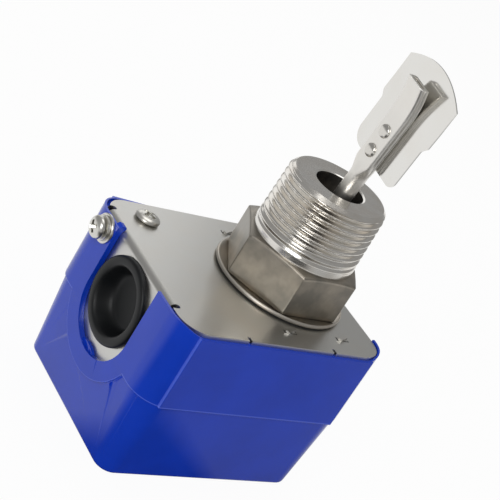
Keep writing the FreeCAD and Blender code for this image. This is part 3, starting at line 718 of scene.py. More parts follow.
@dataclass
class Cover:
    """Moulded case: drafted lower part, upright band, collar round the notch and corner lips."""

    left: float = AT.case_end
    right: float = 25.86
    half: float = 32.15
    corner: float = 9.4
    tighten: float = 1.25
    step: float = 0.85
    band: tuple[Pair, ...] = ((0.85, -0.15), (0.7, 0.0), (0.25, 0.2), (0.05, 0.4), (0.0, 0.8), (0.0, 26.8))
    draft: float = 4.8
    wall: float = 1.9
    floor: float = 2.0
    rim: float = 53.2
    lip: float = 54.8
    lip_thick: float = 0.9
    lip_in: float = 1.4
    lip_slopes: Pair = (6.0, 27.0)
    base_round: float = 1.2
    notch: float = 14.3
    collar_in: float = 0.03
    collar_depth: float = 3.2
    screw_hole: float = 2.25
    panel: float = 0.3
    panel_depth: float = 1.2
    seat: float = 17.0
    seat_in: float = 0.05
    claw: tuple[Pair, ...] = ((0.4, 49.0), (1.88, 50.5), (1.95, 52.4), (2.3, 53.7), (3.0, 54.65), (2.7, 55.3),
                              (1.5, 55.5), (0.4, 54.7))
    claw_width: float = 2.4
    rib_from: float = 258.0
    rib_to: float = 289.0
    rib_height: float = 1.5

    def loop(self, inset: float, side: float = 0.0) -> np.ndarray:
        """The case outline moved in by an inset; its corners tighten as it goes in.

        Args:
            inset: distance from the band's outer face.
            side: further distance on the long walls alone.

        Returns:
            Array of points by 2.
        """
        low = (self.left + inset, inset + side - self.half)
        high = (self.right - inset, self.half - inset - side)
        return round_loop(low, high, self.corner - self.tighten * inset, 24)

    def outside(self) -> Item:
        """Drafted lower part, belt and band: insets against height, with a quarter round at the base.

        Returns:
            The outer solid.
        """
        slope = math.tan(math.radians(self.draft))
        loops, heights = [], []
        for angle in np.radians(np.linspace(0, 90, 7)):
            height = self.base_round * (1 - math.cos(angle))
            shrink = self.base_round * (1 - math.sin(angle))
            loops.append(self.loop(self.step + (AT.belt - height) * slope + shrink))
            heights.append(height)
        for inset, rise in self.band:
            loops.append(self.loop(inset, self.panel * (1 - inset / self.step)))
            heights.append(AT.belt + rise)
        return loft("cover", loops, heights)

    def panels(self) -> list[Item]:
        """The two long walls' panels, which stand proud of the rounded corners.

        Returns:
            One slab for each long wall.
        """
        start, stop = self.left + AT.panel_in, self.right - AT.panel_in
        foot = AT.belt + 0.1
        outline = [(start, foot), (stop, foot), (stop, self.lip), (start, self.lip)]
        made = []
        for side in (-1, 1):
            reach = sorted((side * self.half, side * (self.half - self.panel_depth)))
            made.append(soften(prism("panel", outline, *reach, "y"), 0.35, 3, 40))
        return made

    def rib(self) -> Item:
        """The low rib on the notch's foot: the notch radius less a half sine over the rib's angle.

        Returns:
            A ring segment.
        """
        share = np.linspace(0, 1, 25)
        angle = np.radians(self.rib_from + (self.rib_to - self.rib_from) * share)
        radius = self.notch + 0.1 - self.rib_height * np.sin(math.pi * share) ** 0.6
        inner = list(zip(radius * np.cos(angle), AT.notch_z + radius * np.sin(angle)))
        outer = bend((0, AT.notch_z), self.notch + 1.0, self.rib_to, self.rib_from, 25)
        return prism("rib", inner + outer, self.left + 0.9, self.left + 2.0, "x")

    def cuts(self) -> list[Item]:
        """Lip steps, cavity, room for the plug, notch, open end and screw hole.

        Returns:
            The tools in cutting order.
        """
        over = self.lip + 2
        start, stop = self.left + self.lip_in, self.right - self.lip_in
        tools = []
        for side, slope in zip((-1, 1), self.lip_slopes):
            outline = [(start + slope, self.rim), (start, self.lip + 0.01), (start, over), (stop, over),
                       (stop, self.lip + 0.01), (stop - self.lip_slopes[0], self.rim)]
            tools.append(prism("trim", outline, *sorted((0.0, side * (self.half + 5))), "y"))
        tools.append(loft("ledge", [self.loop(self.lip_thick)] * 2, [self.rim, over]))
        below = self.step + self.wall
        low = below + (AT.belt - self.floor) * math.tan(math.radians(self.draft))
        insets = (low, below, self.wall, self.wall)
        heights = [self.floor, AT.belt, AT.belt + self.lip_thick, over]
        tools.append(loft("cavity", [self.loop(inset) for inset in insets], heights))
        inner = along_x((self.left + self.wall, 0, AT.notch_z))
        tools.append(rod("room", self.seat, self.seat_in, 6, 144, inner))
        mouth = bend((0, AT.notch_z), self.notch, 180, 360, 49)
        mouth += [(self.notch, over + 1), (-self.notch, over + 1)]
        tools.append(prism("notch", mouth, self.left - 4, self.left + 8, "x"))
        reach = self.half - self.corner - 0.6
        tools.append(block("gap", (self.right - 8, -reach), (self.right + 3, reach), self.rim, over))
        tools.append(rod("drill", self.screw_hole, 0, 9, 32, along_x((self.left - 3, *AT.cover_screw))))
        return tools

    def build(self) -> Item:
        """Outer solid with panels and collar, less the cuts, with the claw and the rib.

        Returns:
            The cover.
        """
        case = carve(self.outside(), self.panels(), "UNION")
        face = along_x((self.left + self.collar_in, 0, AT.notch_z))
        profile = [(0, 0), (AT.collar, 0), (AT.collar + 0.1, self.collar_depth), (0, self.collar_depth)]
        carve(case, [spun("collar", profile, 144, face)], "UNION")
        carve(case, self.cuts())
        outline = [(self.left + x, z) for x, z in self.claw]
        hook = prism("hook", outline, self.notch - 0.02, self.notch + self.claw_width, "y")
        carve(case, [hook, self.rib()], "UNION")
        return soften(case, 0.45, 3, 32)

    def dress(self) -> None:
        """Build the cover and give it its finish."""
        show(self.build(), BLUE, "cover", "case")


@dataclass
class Chassis:
    """Stainless plate with a bent end wall, relief slits, ticks and bracket slots."""

    start: float = -50.7
    end: float = 24.71
    half: float = 31.0
    corner: float = 8.2
    sheet: float = 1.2
    bend_radius: float = 2.2
    near: float = -18.7
    far: float = 24.9
    slit: float = 1.8
    reach: float = 2.9
    bottom: float = 16.8
    entry: float = 11.0
    screw_hole: float = 2.3
    centre_hole: float = 11.3
    ticks: Pair = (-28.6, 3.8)
    tick: Pair = (0.5, 1.6)
    tabs: tuple[Pair, ...] = ((-9.8, -24.0), (11.1, -24.0), (-6.4, 24.0), (11.1, 24.0))
    tab: Pair = (2.3, 0.8)

    def end_wall(self, root: float) -> Item:
        """The sheet bent down at the plate's end, with a round foot.

        Args:
            root: X where the bend joins the plate.

        Returns:
            The wall.
        """
        face = AT.wall_face
        under = AT.plate_top - self.sheet
        hub = (face + self.bend_radius, AT.plate_top - self.bend_radius)
        outer = bend(hub, self.bend_radius, 180, 90, 12)
        inner = bend(hub, self.bend_radius - self.sheet, 90, 180, 12)
        foot = AT.notch_z - self.bottom
        join = root + 0.4
        profile = [(face, foot), *outer, (join, AT.plate_top), (join, under), *inner,
                   (face + self.sheet, foot)]
        wall = prism("wall", profile, -40, 40, "y")
        above = AT.plate_top + 1
        tongue = bend((0, AT.notch_z), self.bottom, 180, 360, 49)
        shape = [(self.near, above), (self.near, AT.notch_z), *tongue,
                 (self.far, AT.notch_z), (self.far, above)]
        return carve(wall, [prism("mask", shape, face - 3, face + 9, "x")], "INTERSECT")

    def holes(self, below: float, above: float) -> list[Item]:
        """Ticks, bracket slots and round holes.

        Args:
            below: height at which a cut through the plate starts.
            above: height at which it stops.

        Returns:
            The tools.
        """
        half, depth = self.tick
        tools = [block("tick", (x - half, -self.half - 1), (x + half, depth - self.half), below, above)
                 for x in self.ticks]
        long, wide = self.tab
        tools += [block("slot", (x - long, y - wide), (x + long, y + wide), below, above)
                  for x, y in self.tabs]
        ahead = AT.wall_face - 2
        for radius, spot in ((self.entry, (0, AT.entry_z)), (self.screw_hole, AT.cover_screw)):
            tools.append(rod("round", radius, 0, 6, 72, along_x((ahead, *spot))))
        for radius, spot in ((self.centre_hole, (0, 0)), (self.screw_hole, AT.ground_screw)):
            tools.append(rod("round", radius, 0, 5, 72, Matrix.Translation((*spot, below - 1))))
        return tools

    def build(self) -> Item:
        """Rounded plate and bent end wall, joined, less every hole.

        Returns:
            The chassis.
        """
        under = AT.plate_top - self.sheet
        below, above = under - 1, AT.plate_top + 1
        outline = round_loop((self.start, -self.half), (self.end, self.half), self.corner)
        plate = prism("chassis", outline, under, AT.plate_top, "z")
        radius = self.slit / 2
        root = self.start + self.reach - radius
        low, high = self.near - self.slit, self.far + self.slit
        slits = [block("bite", (self.start - 3, low), (root, high), below, above)]
        slits += [rod("relief", radius, below, above, 32, Matrix.Translation((root, y, 0)))
                  for y in (low + radius, high - radius)]
        carve(plate, slits)
        carve(plate, [self.end_wall(root)], "UNION")
        carve(plate, self.holes(below, above))
        return soften(plate, 0.16, 2, 40)

    def dress(self) -> None:
        """Build the chassis and give it its finish."""
        show(self.build(), PLATE, "chassis", "case")


@dataclass
class Plug:
    """Rubber plug in the cable entry: flange, tapered recess and dished membrane."""

    hole: float = 10.9
    flange: float = 13.4
    proud: float = 1.85
    dish: float = 7.2

    def build(self) -> Item:
        """Section of the plug turned round the entry's axis; heights run into the case.

        Returns:
            The plug.
        """
        hole, edge = self.hole, self.flange
        dish = [(radius, 4.3 - 0.5 * (radius / self.dish) ** 2) for radius in np.linspace(0, self.dish, 8)]
        cone = [(7.8, 3.6), (8.3, 3.1), (8.7, 2.4), (9.1, 1.5), (9.5, 0.5), (9.9, -0.6), (10.2, -1.3),
                (10.6, -1.7)]
        rim = [(11.1, -self.proud), (edge - 1.1, -self.proud), (edge - 0.5, -1.7), (edge - 0.1, -1.3),
               (edge, -0.8), (edge, 0.0)]
        back = [(hole, 0.0), (hole, 1.3), (hole + 0.9, 1.35), (hole, 6.5), (8.1, 6.5), (7.9, 5.9), (0.0, 5.9)]
        place = along_x((AT.wall_face, 0, AT.entry_z))
        return spun("cable_plug", dish + cone + rim + back, 120, place, 50)

    def dress(self) -> None:
        """Build the plug and give it its finish."""
        show(self.build(), BLACK, "cable_plug", "case")


@dataclass
class PanScrew:
    """Pan head screw with a crossed recess, its seat at the local origin and the head towards +Z."""

    name: str
    radius: float
    height: float
    length: float
    place: Matrix
    shank: float = 2.0

    def build(self) -> Item:
        """Head and shank turned round the axis, less two tapered bars across the head.

        Returns:
            The screw.
        """
        high, wide = self.height, self.radius
        head = [(wide - 0.9, 0.0), (wide - 0.1, high * 0.22), (wide, high * 0.3)]
        head += [(wide * math.cos(a) ** 0.8, high * 0.36 + high * 0.64 * math.sin(a))
                 for a in np.radians(np.linspace(6, 84, 10))]
        outline = [(0.0, -self.length), (self.shank - 0.4, -self.length), (self.shank, -self.length + 0.5),
                   (self.shank, 0.0), *head, (0.0, high)]
        screw = spun(self.name, outline, 64)
        arm, thin = wide * 0.60, wide * 0.15
        tools = []
        for turn in (0.0, QUARTER):
            spin = np.array([[math.cos(turn), -math.sin(turn)], [math.sin(turn), math.cos(turn)]])
            loops = []
            for scale in (0.45, 1.15):
                long = arm * scale
                loops.append(np.array([(-long, -thin), (long, -thin), (long, thin), (-long, thin)]) @ spin.T)
            tools.append(loft("cross", loops, (high * 0.35, high * 1.2)))
        pit = [(0, high * 0.3), (wide * 0.16, high * 0.35), (wide * 0.3, high * 1.2), (0, high * 1.2)]
        carve(screw, [*tools, spun("pit", pit, 24)], crease=30)
        screw.data.transform(Matrix.Scale(MM, 4) @ self.place @ Matrix.Scale(1 / MM, 4))
        return screw


@dataclass
class Fasteners:
    """Cover screw with its two washers, and the screw on the plate."""

    hole: float = 2.25
    washer: float = 4.5
    flat: float = 0.9
    split: float = 1.1
    gap: float = 8.0
    lead: float = 0.16
    recess_angles: Pair = (38.0, 20.0)

    def lock_washer(self, out: Matrix) -> Item:
        """Split ring: a small section carried round the axis, rising evenly from one end to the other.

        Args:
            out: matrix of the cover screw's seat.

        Returns:
            The washer.
        """
        angle = np.radians(np.linspace(self.gap, 360 - self.gap, 90))
        radius, level = np.array([(2.2, 0.1), (2.3, 0.0), (3.7, 0.0), (3.8, 0.1), (3.8, 1.0), (3.7, 1.1),
                                  (2.3, 1.1), (2.2, 1.0)]).T
        rise = self.flat + (angle / (2 * math.pi) - 0.5) * self.lead
        ring = np.stack([radius * np.cos(angle)[:, None], radius * np.sin(angle)[:, None],
                         level * 0.86 + 0.08 + rise[:, None]], axis=-1)
        points, faces = lattice(ring)
        turned = out @ Matrix.Rotation(math.radians(200), 4, "Z")
        return solid("cover_lock_washer", moved(points, turned), faces)

    def build(self) -> dict[str, Item]:
        """Screws, flat washer and split washer.

        Returns:
            Node name to piece.
        """
        out = along_x((AT.case_end, *AT.cover_screw), -1)
        inner, outer, thick = self.hole, self.washer, self.flat
        profile = [(inner, 0.0), (outer - 0.2, 0.0), (outer, 0.2), (outer, thick - 0.2), (outer - 0.2, thick),
                   (inner, thick)]
        flat = spun("cover_flat_washer", profile, 72, out)
        lock = self.lock_washer(out)
        turns = [Matrix.Rotation(math.radians(angle), 4, "Z") for angle in self.recess_angles]
        seat = out @ Matrix.Translation((0, 0, thick + self.split)) @ turns[0]
        main = PanScrew("cover_screw", 3.5, 2.8, 9.5, seat).build()
        spot = Matrix.Translation((*AT.ground_screw, AT.plate_top)) @ turns[1]
        other = PanScrew("ground_screw", 4.0, 2.2, 8.0, spot).build()
        return {"cover_flat_washer": flat, "cover_lock_washer": lock, "cover_screw": main,
                "ground_screw": other}

    def dress(self) -> None:
        """Build the fasteners and give them their finish."""
        for node, piece in self.build().items():
            show(piece, ZINC, node, "case")


@dataclass
class Fitting:
    """Hexagonal fitting with a taper-threaded nipple, flange washer and gasket."""

    flats: float = 36.0
    low: float = 55.7
    high: float = 70.1
    top: float = 91.6
    crown: float = 0.27
    foot: float = 0.06
    crest: float = 16.3
    pitch: float = 2.309
    depth: float = 1.36
    runout: float = 7.0
    chamfer: float = 1.25
    bore: float = 7.8
    ledge: float = 57.0
    spigot: float = 11.0
    spigot_hole: float = 6.0
    spigot_end: float = 50.4
    flange: float = 21.6
    seat: float = 54.8
    columns: int = 240

    def hexagon(self, angle: np.ndarray, edge: float = 0.5) -> np.ndarray:
        """Radius of a hexagon with rounded corners against angle.

        Away from a corner the radius is half the flats over the cosine of the angle from the flat's middle.
        Within the corner it is the far crossing with a circle that is tangent to both flats.

        Args:
            angle: angles in radians, a corner at 0.
            edge: radius of the rounding.

        Returns:
            Radii.
        """
        half = self.flats / 2
        off = (angle + math.pi / 6) % (math.pi / 3) - math.pi / 6
        flat = half / np.cos(math.pi / 6 - np.abs(off))
        reach = (half - edge) / math.cos(math.pi / 6)
        inside = np.clip(edge ** 2 - (reach * np.sin(off)) ** 2, 0, None)
        round_part = reach * np.cos(off) + np.sqrt(inside)
        limit = math.atan2(edge * 0.5, reach + edge * math.cos(math.pi / 6))
        return np.where(np.abs(off) < limit, round_part, flat)

    def thread(self, angle: np.ndarray, height: float) -> np.ndarray:
        """Radius of the taper thread: crest radius less a rounded saw of the phase, faded at both ends.

        The phase is height over pitch less angle over a full turn, and the crest radius grows by one part in
        32 downward.

        Args:
            angle: angles in radians.
            height: the height.

        Returns:
            Radii.
        """
        phase = (height / self.pitch - angle / (2 * math.pi)) % 1.0
        groove = np.clip((np.abs(phase * 2 - 1) - 0.10) / 0.80, 0, 1)
        groove = eased(groove) * 0.45 + groove * 0.55
        cone = self.crest + (self.top - height) / 32
        above = np.clip((self.top - 0.15 - height) / 1.0, 0, 1)
        below = np.clip((height - self.high - 1.6) / self.runout, 0, 1) ** 0.7
        chamfer = np.minimum(0.0, (self.top - self.chamfer - height)) * 1.1
        return np.minimum(cone - self.depth * groove * above * below, cone + chamfer)

    def rows(self, angle: np.ndarray) -> list[tuple]:
        """Radius and height of each row of the section, from the spigot's hole round to the bore.

        Args:
            angle: angles in radians of the columns.

        Returns:
            Pairs of numbers or arrays.
        """
        hexa = self.hexagon(angle)
        start = self.flats / 2 - 0.5
        top_z = self.high - np.clip(hexa - start, 0, None) * self.crown
        foot_z = self.low + np.clip(hexa - start, 0, None) * self.foot
        rows = [(self.spigot_hole, self.spigot_end), (self.spigot - 0.4, self.spigot_end),
                (self.spigot, self.spigot_end + 0.4), (self.spigot, self.low), (start, self.low),
                (hexa - 0.25, foot_z), (hexa, foot_z + 0.3)]
        for share in np.linspace(0.08, 0.94, 5):
            rows.append((hexa, foot_z + 0.3 + (top_z - foot_z - 0.6) * share))
        rows += [(hexa, top_z - 0.25), (hexa - 0.2, top_z)]
        for share in (0.33, 0.66):
            radius = (hexa - 0.2) * (1 - share) + start * share
            rows.append((radius, self.high - np.clip(radius - start, 0, None) * self.crown))
        rows += [(start - 0.2, self.high), (17.0, self.high)]
        bottom = self.high + 0.35
        for height in np.linspace(bottom, self.top, int((self.top - bottom) / self.pitch * 20)):
            rows.append((self.thread(angle, height), height))
        mouth = self.bore + 0.6
        rows += [(14.2, self.top), (14.0, self.top - 0.02), (mouth + 0.12, self.top), (mouth, self.top),
                 (self.bore + 0.12, self.top - 0.3), (self.bore, self.top - 0.9), (self.bore, self.ledge),
                 (self.spigot_hole, self.ledge)]
        return rows

    def build(self) -> dict[str, Item]:
        """Fitting, flange washer and gasket.

        Returns:
            Node name to piece.
        """
        corner = np.linspace(0, math.pi / 3, self.columns // 6, endpoint=False)
        crowded = corner - 0.85 / 6 * np.sin(corner * 6)
        angle = np.concatenate([crowded + index * math.pi / 3 for index in range(6)])
        ones = np.ones_like(angle)
        grid = np.stack([np.stack([radius * np.cos(angle), radius * np.sin(angle), height * ones], axis=-1)
                         for radius, height in self.rows(angle)])
        grid = np.concatenate([grid, grid[:1]])
        fitting = solid("hex_fitting", *lattice(grid, caps=False), 40)
        inner, outer = self.spigot + 0.3, self.flange
        bead = bend((outer - 0.65, self.seat + 0.65), 0.65, -60, 80, 10)
        profile = [(inner, self.seat), (outer - 0.5, self.seat), *bead, (outer - 1.2, self.low),
                   (inner, self.low)]
        disc = spun("flange_washer", profile, 160, None, 60)
        profile = [(inner, AT.plate_top), (outer - 0.5, AT.plate_top), (outer - 0.4, AT.plate_top + 0.2),
                   (outer - 0.5, self.seat), (inner, self.seat)]
        ring = spun("flange_gasket", profile, 128)
        return {"hex_fitting": fitting, "flange_washer": disc, "flange_gasket": ring}

    def dress(self) -> None:
        """Build the fitting and give it its finishes; the flats and the deep bore get painted shade."""
        made = self.build()
        fitting = show(made["hex_fitting"], TURNED, "hex_fitting", "case")
        for finish in (FLATS_PAINTED_SHADE, BORE_PAINTED_SHADE):
            fitting.data.materials.append(finish.material())
        centres = np.empty(len(fitting.data.polygons) * 3)
        fitting.data.polygons.foreach_get("center", centres)
        x, y, z = centres.reshape(-1, 3).T / MM
        radius = np.hypot(x, y)
        # The hexagon's flats take the painted shade of the darker copy.
        flats = (z < self.high + 0.1) & (radius > self.spigot + 1)
        # Faces deep in the bore take the painted shade.
        deep = (radius < self.bore + 0.06) & (z < self.top - 0.6)
        fitting.data.polygons.foreach_set("material_index", (flats + deep * 2).astype(np.int32))
        show(made["flange_washer"], DISC, "flange_washer", "case")
        show(made["flange_gasket"], GASKET, "flange_gasket", "case")


@dataclass
class Paddle:
    """Arm, leaf and rivets in the arm's own frame: Z along the arm, Y across it."""

    cross: float = 64.0
    lean: float = 6.0
    tube: float = 2.9
    foot: float = -13.69
    round_end: float = 34.5
    strap_start: float = 40.0
    strap_bend: float = 56.0
    tip: float = 68.5
    sweep: float = 2.5
    half_width: float = 3.95
    front: float = -2.5
    back: float = 0.9
    edge: float = 0.95
    seam: float = 0.22
    leaf_sheet: float = 0.5
    leaf_bottom: float = 39.6
    leaf_step: float = 56.1
    leaf_side: float = 70.1
    leaf_top: float = 74.8
    leaf_half: float = 13.75
    leaf_half_low: float = 12.25
    leaf_corners: Pair = (2.8, 4.8)
    leaf_bow: float = 0.25
    rivets: Pair = (43.8, 50.9)
    rivet: float = 2.1
    rivet_shank: float = 1.4

    def place(self) -> Matrix:
        """Matrix that leans the arm's frame and lifts it to where the arm crosses the axis.

        Returns:
            The matrix, in millimetres.
        """
        return Matrix.Translation((0, 0, self.cross)) @ Matrix.Rotation(math.radians(self.lean), 4, "X")

    def swept(self, height: float) -> float:
        """How far the strap is swept back: it grows with the square of the height past the bend.

        Args:
            height: height along the arm.

        Returns:
            The distance.
        """
        along = max(0.0, (height - self.strap_bend) / (self.tip - self.strap_bend))
        return self.sweep * along * along

    def section(self, share: float, seam: float = 0.0) -> np.ndarray:
        """Cross-section between a circle and the flat strap, as a loop of X and Y.

        The strap is a rounded rectangle. Each of its points has a partner on the circle at the same angle
        once the rectangle is scaled to a square, and the section is the mean of both, weighted by the
        share. A seam between the two walls is pressed into both narrow sides.

        Args:
            share: 0 for the tube and 1 for the strap.
            seam: depth of the seam between the two walls.

        Returns:
            Array of points by 2.
        """
        depth, wide = (self.back - self.front) / 2, self.half_width
        flat, straight = depth - self.edge, wide - self.edge
        half_loop = [*bend((flat, straight), self.edge, 0, 90, 9),
                     *((x, wide) for x in np.linspace(flat, -flat, 15)[1:-1]),
                     *bend((-flat, straight), self.edge, 90, 180, 9),
                     *((-depth, y) for y in np.linspace(straight, -straight, 9)[1:-1])]
        strap = np.concatenate([half_loop, np.negative(half_loop)])
        line = np.exp(-((strap[:, 0] - 0.1) / 0.2) ** 2) * (np.abs(strap[:, 1]) > wide - 0.3)
        strap[:, 1] -= np.sign(strap[:, 1]) * line * seam
        angle = np.arctan2(strap[:, 1] / wide, strap[:, 0] / depth)
        tube = self.tube * np.column_stack([np.cos(angle), np.sin(angle)])
        mixed = tube * (1 - share) + strap * share
        mixed[:, 0] += (self.front + self.back) / 2 * share
        return mixed

    def arm(self) -> Item:
        """Tube, shoulder, strap and swept tip, with the open end going down between the two walls.

        Returns:
            The arm.
        """
        straight = np.linspace(self.foot + 10, self.round_end, 6)
        rows = [(z, 0.0) for z in (self.foot, self.foot + 0.2, *straight)]
        for share in np.linspace(0.08, 1.0, 14):
            rows.append((self.round_end + (self.strap_start - self.round_end) * share, eased(share)))
        rows += [(z, 1.0) for z in np.linspace(self.strap_start + 1.2, self.tip, 26)]
        loops, heights = [], []
        for height, share in rows:
            loop = self.section(share, self.seam * share)
            loop[:, 0] -= self.swept(height)
            loops.append(loop)
            heights.append(height)
        middle, depth = (self.front + self.back) / 2, (self.back - self.front) / 2
        for rise, thick, wide in ((0.12, 1.45, 3.7), (0.12, 0.5, 2.7), (-0.1, 0.4, 2.6), (-3.0, 0.34, 2.5),
                                  (-6.0, 0.34, 2.4)):
            height = self.tip + rise
            loop = self.section(1.0)
            loop[:, 0] = middle + (loop[:, 0] - middle) * thick / depth - self.swept(height)
            loop[:, 1] *= wide / self.half_width
            loops.append(loop)
            heights.append(height)
        return loft("paddle_arm", loops, heights, self.place(), 50)

    def leaf(self) -> Item:
        """Thin sheet: two grids over width and height joined round the border.

        The bottom edge rises near each side by a corner radius less the root of its square less the square of
        the distance past the corner's centre; the top edge falls with the square of the distance from the
        middle; the half width grows by a smooth step.

        Returns:
            The leaf.
        """
        across = np.sin(np.linspace(-QUARTER, QUARTER, 61))
        up = np.linspace(0, 1, 60)
        corner = np.where(across < 0, *self.leaf_corners)
        past = np.clip(np.abs(across) * self.leaf_half_low - (self.leaf_half_low - corner), 0, corner)
        bottom = self.leaf_bottom + corner - np.sqrt(np.clip(corner ** 2 - past ** 2, 0, None))
        top = self.leaf_side + (self.leaf_top - self.leaf_side) * (1 - across ** 2)
        height = bottom + (top - bottom) * up[:, None]
        widen = eased(np.clip((height - self.leaf_step + 1.6) / 2.6, 0, 1))
        width = across * (self.leaf_half_low + (self.leaf_half - self.leaf_half_low) * widen)
        bow = self.leaf_bow * (width / self.leaf_half) ** 2 * np.clip((height - 54) / 8, 0, 1)
        sides = [np.stack([level + bow, width, height], axis=-1)
                 for level in (self.back + 0.02, self.back + self.leaf_sheet)]
        rims = [np.concatenate([side[0, :], side[1:, -1], side[-1, -2::-1], side[-2:0:-1, 0]])
                for side in sides]
        _, cells = lattice(sides[0], around=False, caps=False)
        size = height.size
        faces = cells + (np.array(cells) + size).tolist()
        count = len(rims[0])
        index = np.arange(count) + 2 * size
        after = np.roll(index, -1)
        faces += np.stack([index, after, after + count, index + count], axis=-1).tolist()
        points = np.concatenate([*(side.reshape(-1, 3) for side in sides), *rims])
        return solid("paddle_leaf", moved(points, self.place()), faces, 40)

    def rivet_set(self) -> Item:
        """Two rivets: a low dome in front, a shank and a flatter head behind the leaf.

        Returns:
            Both rivets as one object.
        """
        behind = self.back + self.leaf_sheet
        dome = [(self.rivet * math.sin(a), self.front - 0.15 - 0.8 * math.cos(a))
                for a in np.radians(np.linspace(12, 90, 9))]
        profile = [(0.0, self.front - 0.95), *dome, (self.rivet, self.front), (self.rivet_shank, self.front),
                   (self.rivet_shank, behind), (1.9, behind), (1.75, behind + 0.35), (1.2, behind + 0.55),
                   (0.0, behind + 0.6)]
        both, other = [spun("rivet", profile, 48, self.place() @ along_x((0, 0, height)), 50)
                       for height in self.rivets]
        joined = bmesh.new()
        for part in (both, other):
            joined.from_mesh(part.data)
        joined.to_mesh(both.data)
        joined.free()
        both.data.set_sharp_from_angle(angle=math.radians(50))
        both.name = "paddle_rivets"
        bpy.data.objects.remove(other)
        return both

    def dress(self) -> None:
        """Build the paddle and give it its finishes."""
        show(self.arm(), STRAP, "paddle_arm", "paddle")
        show(self.leaf(), POLISHED, "paddle_leaf", "paddle")
        show(self.rivet_set(), TUBE, "paddle_rivets", "paddle")


@dataclass
class Inside:
    """Pieces inside the case: CAD nodes with finishes, and the two that change shape."""

    finishes: dict[str, Finish] = field(default_factory=lambda: {
        "rocker": SHEET, "pivot_pin": TUBE, "mechanism_bracket": SHEET, "microswitch_body": SWITCH,
        "microswitch_plunger": BUTTON, "switch_terminals": BRASS, "terminal_screws": BRASS,
        "spring_seat_nut": BRASS, "seal_collar": BRASS,
    })
    spring_at: Triple = (-14.0, 14.0, 26.0)
    spring_top: float = 44.05
    spring_radius: float = 3.6
    wire: float = 0.45
    turns: float = 7.0
    bellows_low: float = 57.6
    bellows_high: float = 66.8
    bellows_radius: float = 6.1
    bellows_wave: float = 0.75
    bellows_folds: int = 5
    bellows_wall: float = 0.35

    def spring(self) -> Item:
        """Coil: a small circle carried along a helix whose first and last turns lie flat.

        Returns:
            The spring.
        """
        share = np.linspace(0, 1, 280)
        angle = (share * self.turns * 2 * math.pi)[:, None]
        free = self.spring_top - self.spring_at[2] - 2 * self.wire
        rise = free * np.clip((share * self.turns - 0.9) / (self.turns - 1.8), 0, 1) + self.wire
        around = np.linspace(0, 2 * math.pi, 12, endpoint=False)
        radius = self.spring_radius + self.wire * np.cos(around)
        grid = np.stack([radius * np.cos(angle), radius * np.sin(angle),
                         rise[:, None] + self.wire * np.sin(around)], axis=-1)
        return solid("range_spring", *lattice(grid + np.array(self.spring_at)))

    def bellows(self) -> Item:
        """Wavy tube: radius swings between two values as the cosine of the height.

        Returns:
            The bellows.
        """
        height = np.linspace(self.bellows_low, self.bellows_high, 90)
        turn = (height - self.bellows_low) / (self.bellows_high - self.bellows_low) * 2 * math.pi
        outer = self.bellows_radius + self.bellows_wave * np.cos(turn * self.bellows_folds)
        outside = [(7.5, 57.0), (7.5, 57.4), *zip(outer, height), (6.2, 67.2), (6.2, 67.7), (3.8, 67.7)]
        back = zip((outer - self.bellows_wall)[::-1], height[::-1])
        return spun("bellows_seal", [*outside, (3.8, 67.3), *back, (6.2, 57.2), (6.2, 57.0)], 72)

    def dress(self) -> None:
        """Give every CAD node a finish, plated where none is named, and build the spring and the bellows."""
        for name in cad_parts:
            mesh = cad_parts[name].data
            mesh.materials.clear()
            mesh.materials.append(self.finishes.get(name, ZINC).material())
        spring = show(self.spring(), SPRING, "range_spring", "case")
        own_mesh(spring)
        seal = self.bellows()
        seal.data.materials.append(BRONZE.material())
        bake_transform(seal)
        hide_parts("bellows_seal")


# Studio

@dataclass(frozen=True)
class Softbox:
    """One area light that looks at the fitting, in metres and watts."""

    name: str
    spot: Triple
    size: Pair
    power: float
    target: Triple = (-0.01, 0.0, 0.06)

    def build(self) -> None:
        """Add the light to the scene."""
        lamp = bpy.data.lights.new(self.name, "AREA")
        lamp.shape = "RECTANGLE"
        lamp.size, lamp.size_y = self.size
        lamp.energy = self.power
        made = bpy.data.objects.new(self.name, lamp)
        made.location = self.spot
        made.rotation_mode = "QUATERNION"
        made.rotation_quaternion = (Vector(self.target) - Vector(self.spot)).to_track_quat("-Z", "Y")
        made.visible_camera = False
        bpy.context.scene.collection.objects.link(made)


@dataclass(frozen=True)
class Sector:
    """A part of the floor that glossy surfaces see darker, along one way out from the origin."""

    way: Triple
    low: float
    high: float
    share: float


